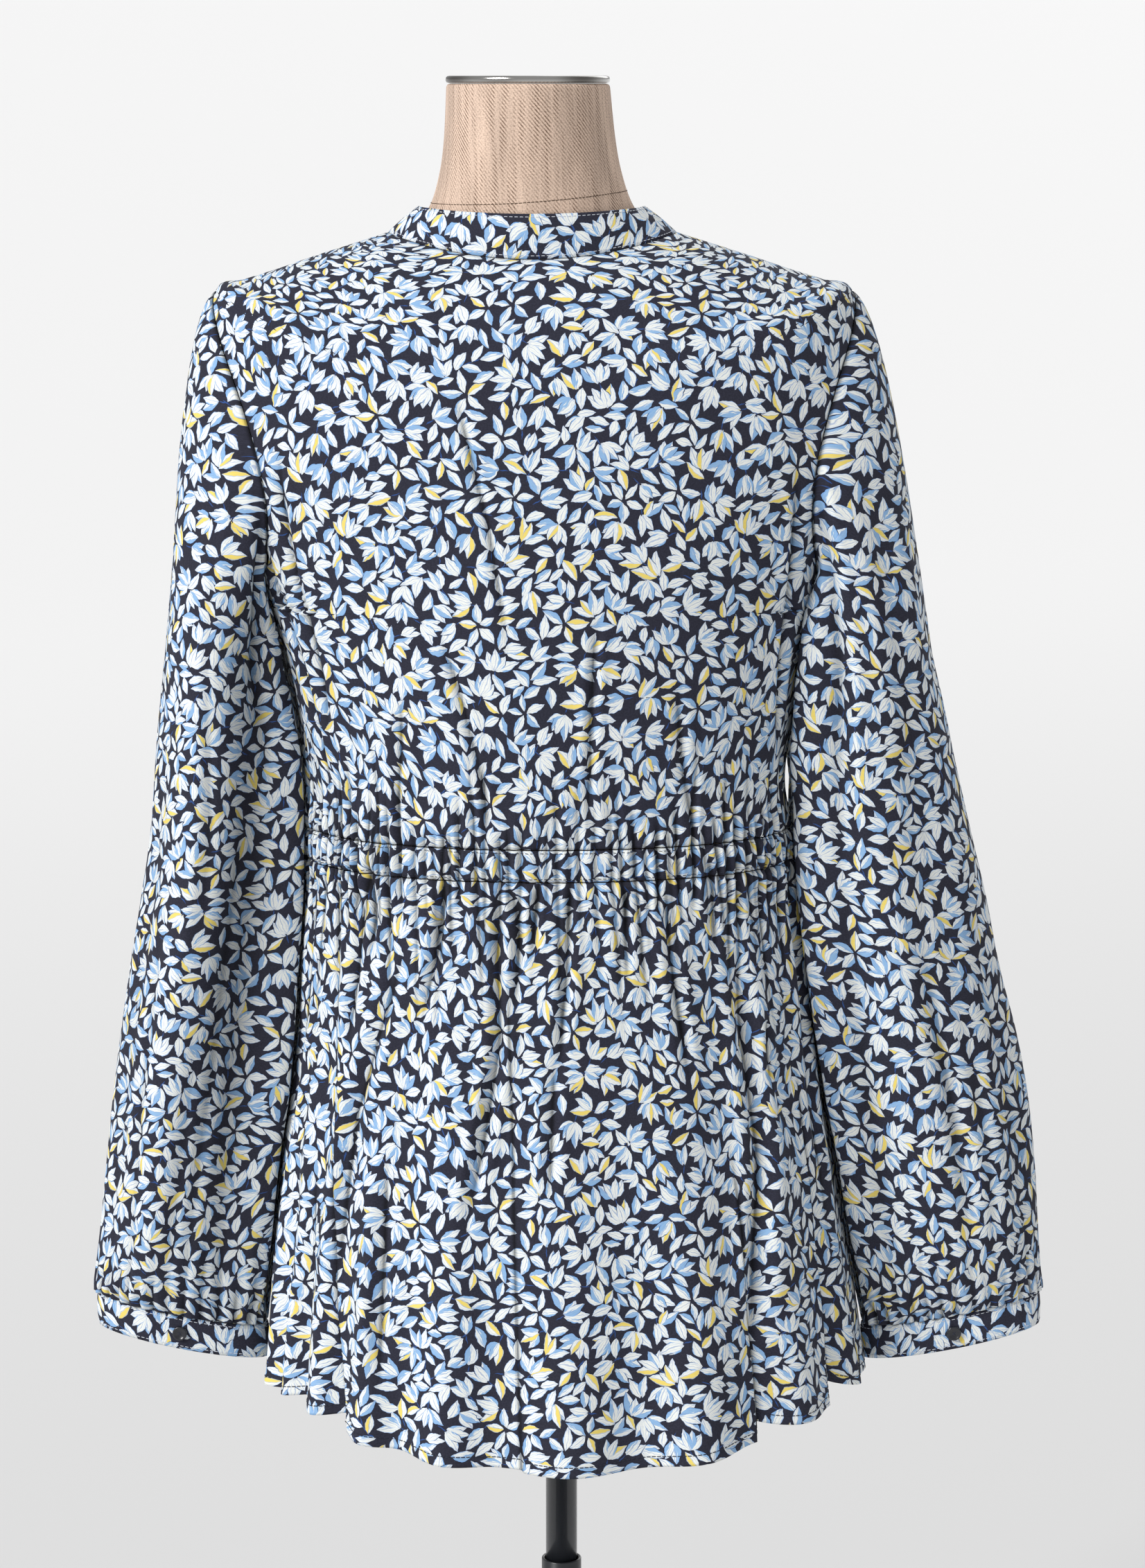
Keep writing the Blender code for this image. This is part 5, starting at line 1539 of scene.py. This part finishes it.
class DRESS_OT_sleeves(bpy.types.Operator):
    """Sets in both sleeves with their cuffs and cuff buttons"""

    bl_idname, bl_label = "dress.sleeves", "Sleeves and cuffs"

    def execute(self, context):
        for side in ("left", "right"):
            make_sleeve(side, context.scene.top_cloth)
            make_cuff(side)
        return {"FINISHED"}


class DRESS_OT_bust(bpy.types.Operator):
    """Covers the limbless bust in linen and caps its neck"""

    bl_idname, bl_label = "dress.bust", "Bust and cap"

    def execute(self, context):
        make_bust()
        make_cap()
        return {"FINISHED"}


class DRESS_OT_stand(bpy.types.Operator):
    """Builds the mast, tube, clamp and base"""

    bl_idname, bl_label = "dress.stand", "Stand"

    def execute(self, context):
        make_stand()
        return {"FINISHED"}


class DRESS_OT_stage(bpy.types.Operator):
    """Sets the floor, the lights, the sky and the camera"""

    bl_idname, bl_label = "dress.stage", "Stage"

    def execute(self, context):
        make_stage(context.scene.top_stage)
        return {"FINISHED"}


STEPS = (DRESS_OT_bodice, DRESS_OT_placket, DRESS_OT_collar, DRESS_OT_casing, DRESS_OT_skirt,
         DRESS_OT_sleeves,
         DRESS_OT_bust, DRESS_OT_stand, DRESS_OT_stage)


class DRESS_PT_panel(bpy.types.Panel):
    """Lists the settings and the steps that build the top"""

    bl_idname, bl_label = "DRESS_PT_panel", "Maternity top"
    bl_space_type, bl_region_type, bl_category = "VIEW_3D", "UI", "Top"

    def draw(self, context):
        for step in STEPS:
            self.layout.operator(step.bl_idname)
        for group in (context.scene.top_cloth, context.scene.top_print, context.scene.top_stand,
                      context.scene.top_stage):
            box = self.layout.box()
            for name in group.__annotations__:
                box.prop(group, name)


CLASSES = (TopCloth, TopPrint, TopStand, TopStage, *STEPS, DRESS_PT_panel)


def register():
    """Adds the settings, operators and panel to Blender."""
    for kind in CLASSES:
        bpy.utils.register_class(kind)
    bpy.types.Scene.top_cloth = bpy.props.PointerProperty(type=TopCloth)
    bpy.types.Scene.top_print = bpy.props.PointerProperty(type=TopPrint)
    bpy.types.Scene.top_stand = bpy.props.PointerProperty(type=TopStand)
    bpy.types.Scene.top_stage = bpy.props.PointerProperty(type=TopStage)


def unregister():
    """Takes them away again, in reverse."""
    for name in ("top_stage", "top_stand", "top_print", "top_cloth"):
        delattr(bpy.types.Scene, name)
    for kind in reversed(CLASSES):
        bpy.utils.unregister_class(kind)


def main():
    register()
    bpy.ops.dress.bodice()
    bpy.ops.dress.placket()
    bpy.ops.dress.collar()
    bpy.ops.dress.casing()
    bpy.ops.dress.skirt()
    bpy.ops.dress.sleeves()
    bpy.ops.dress.bust()
    bpy.ops.dress.stand()
    bpy.ops.dress.stage()


if __name__ == "__main__":
    main()
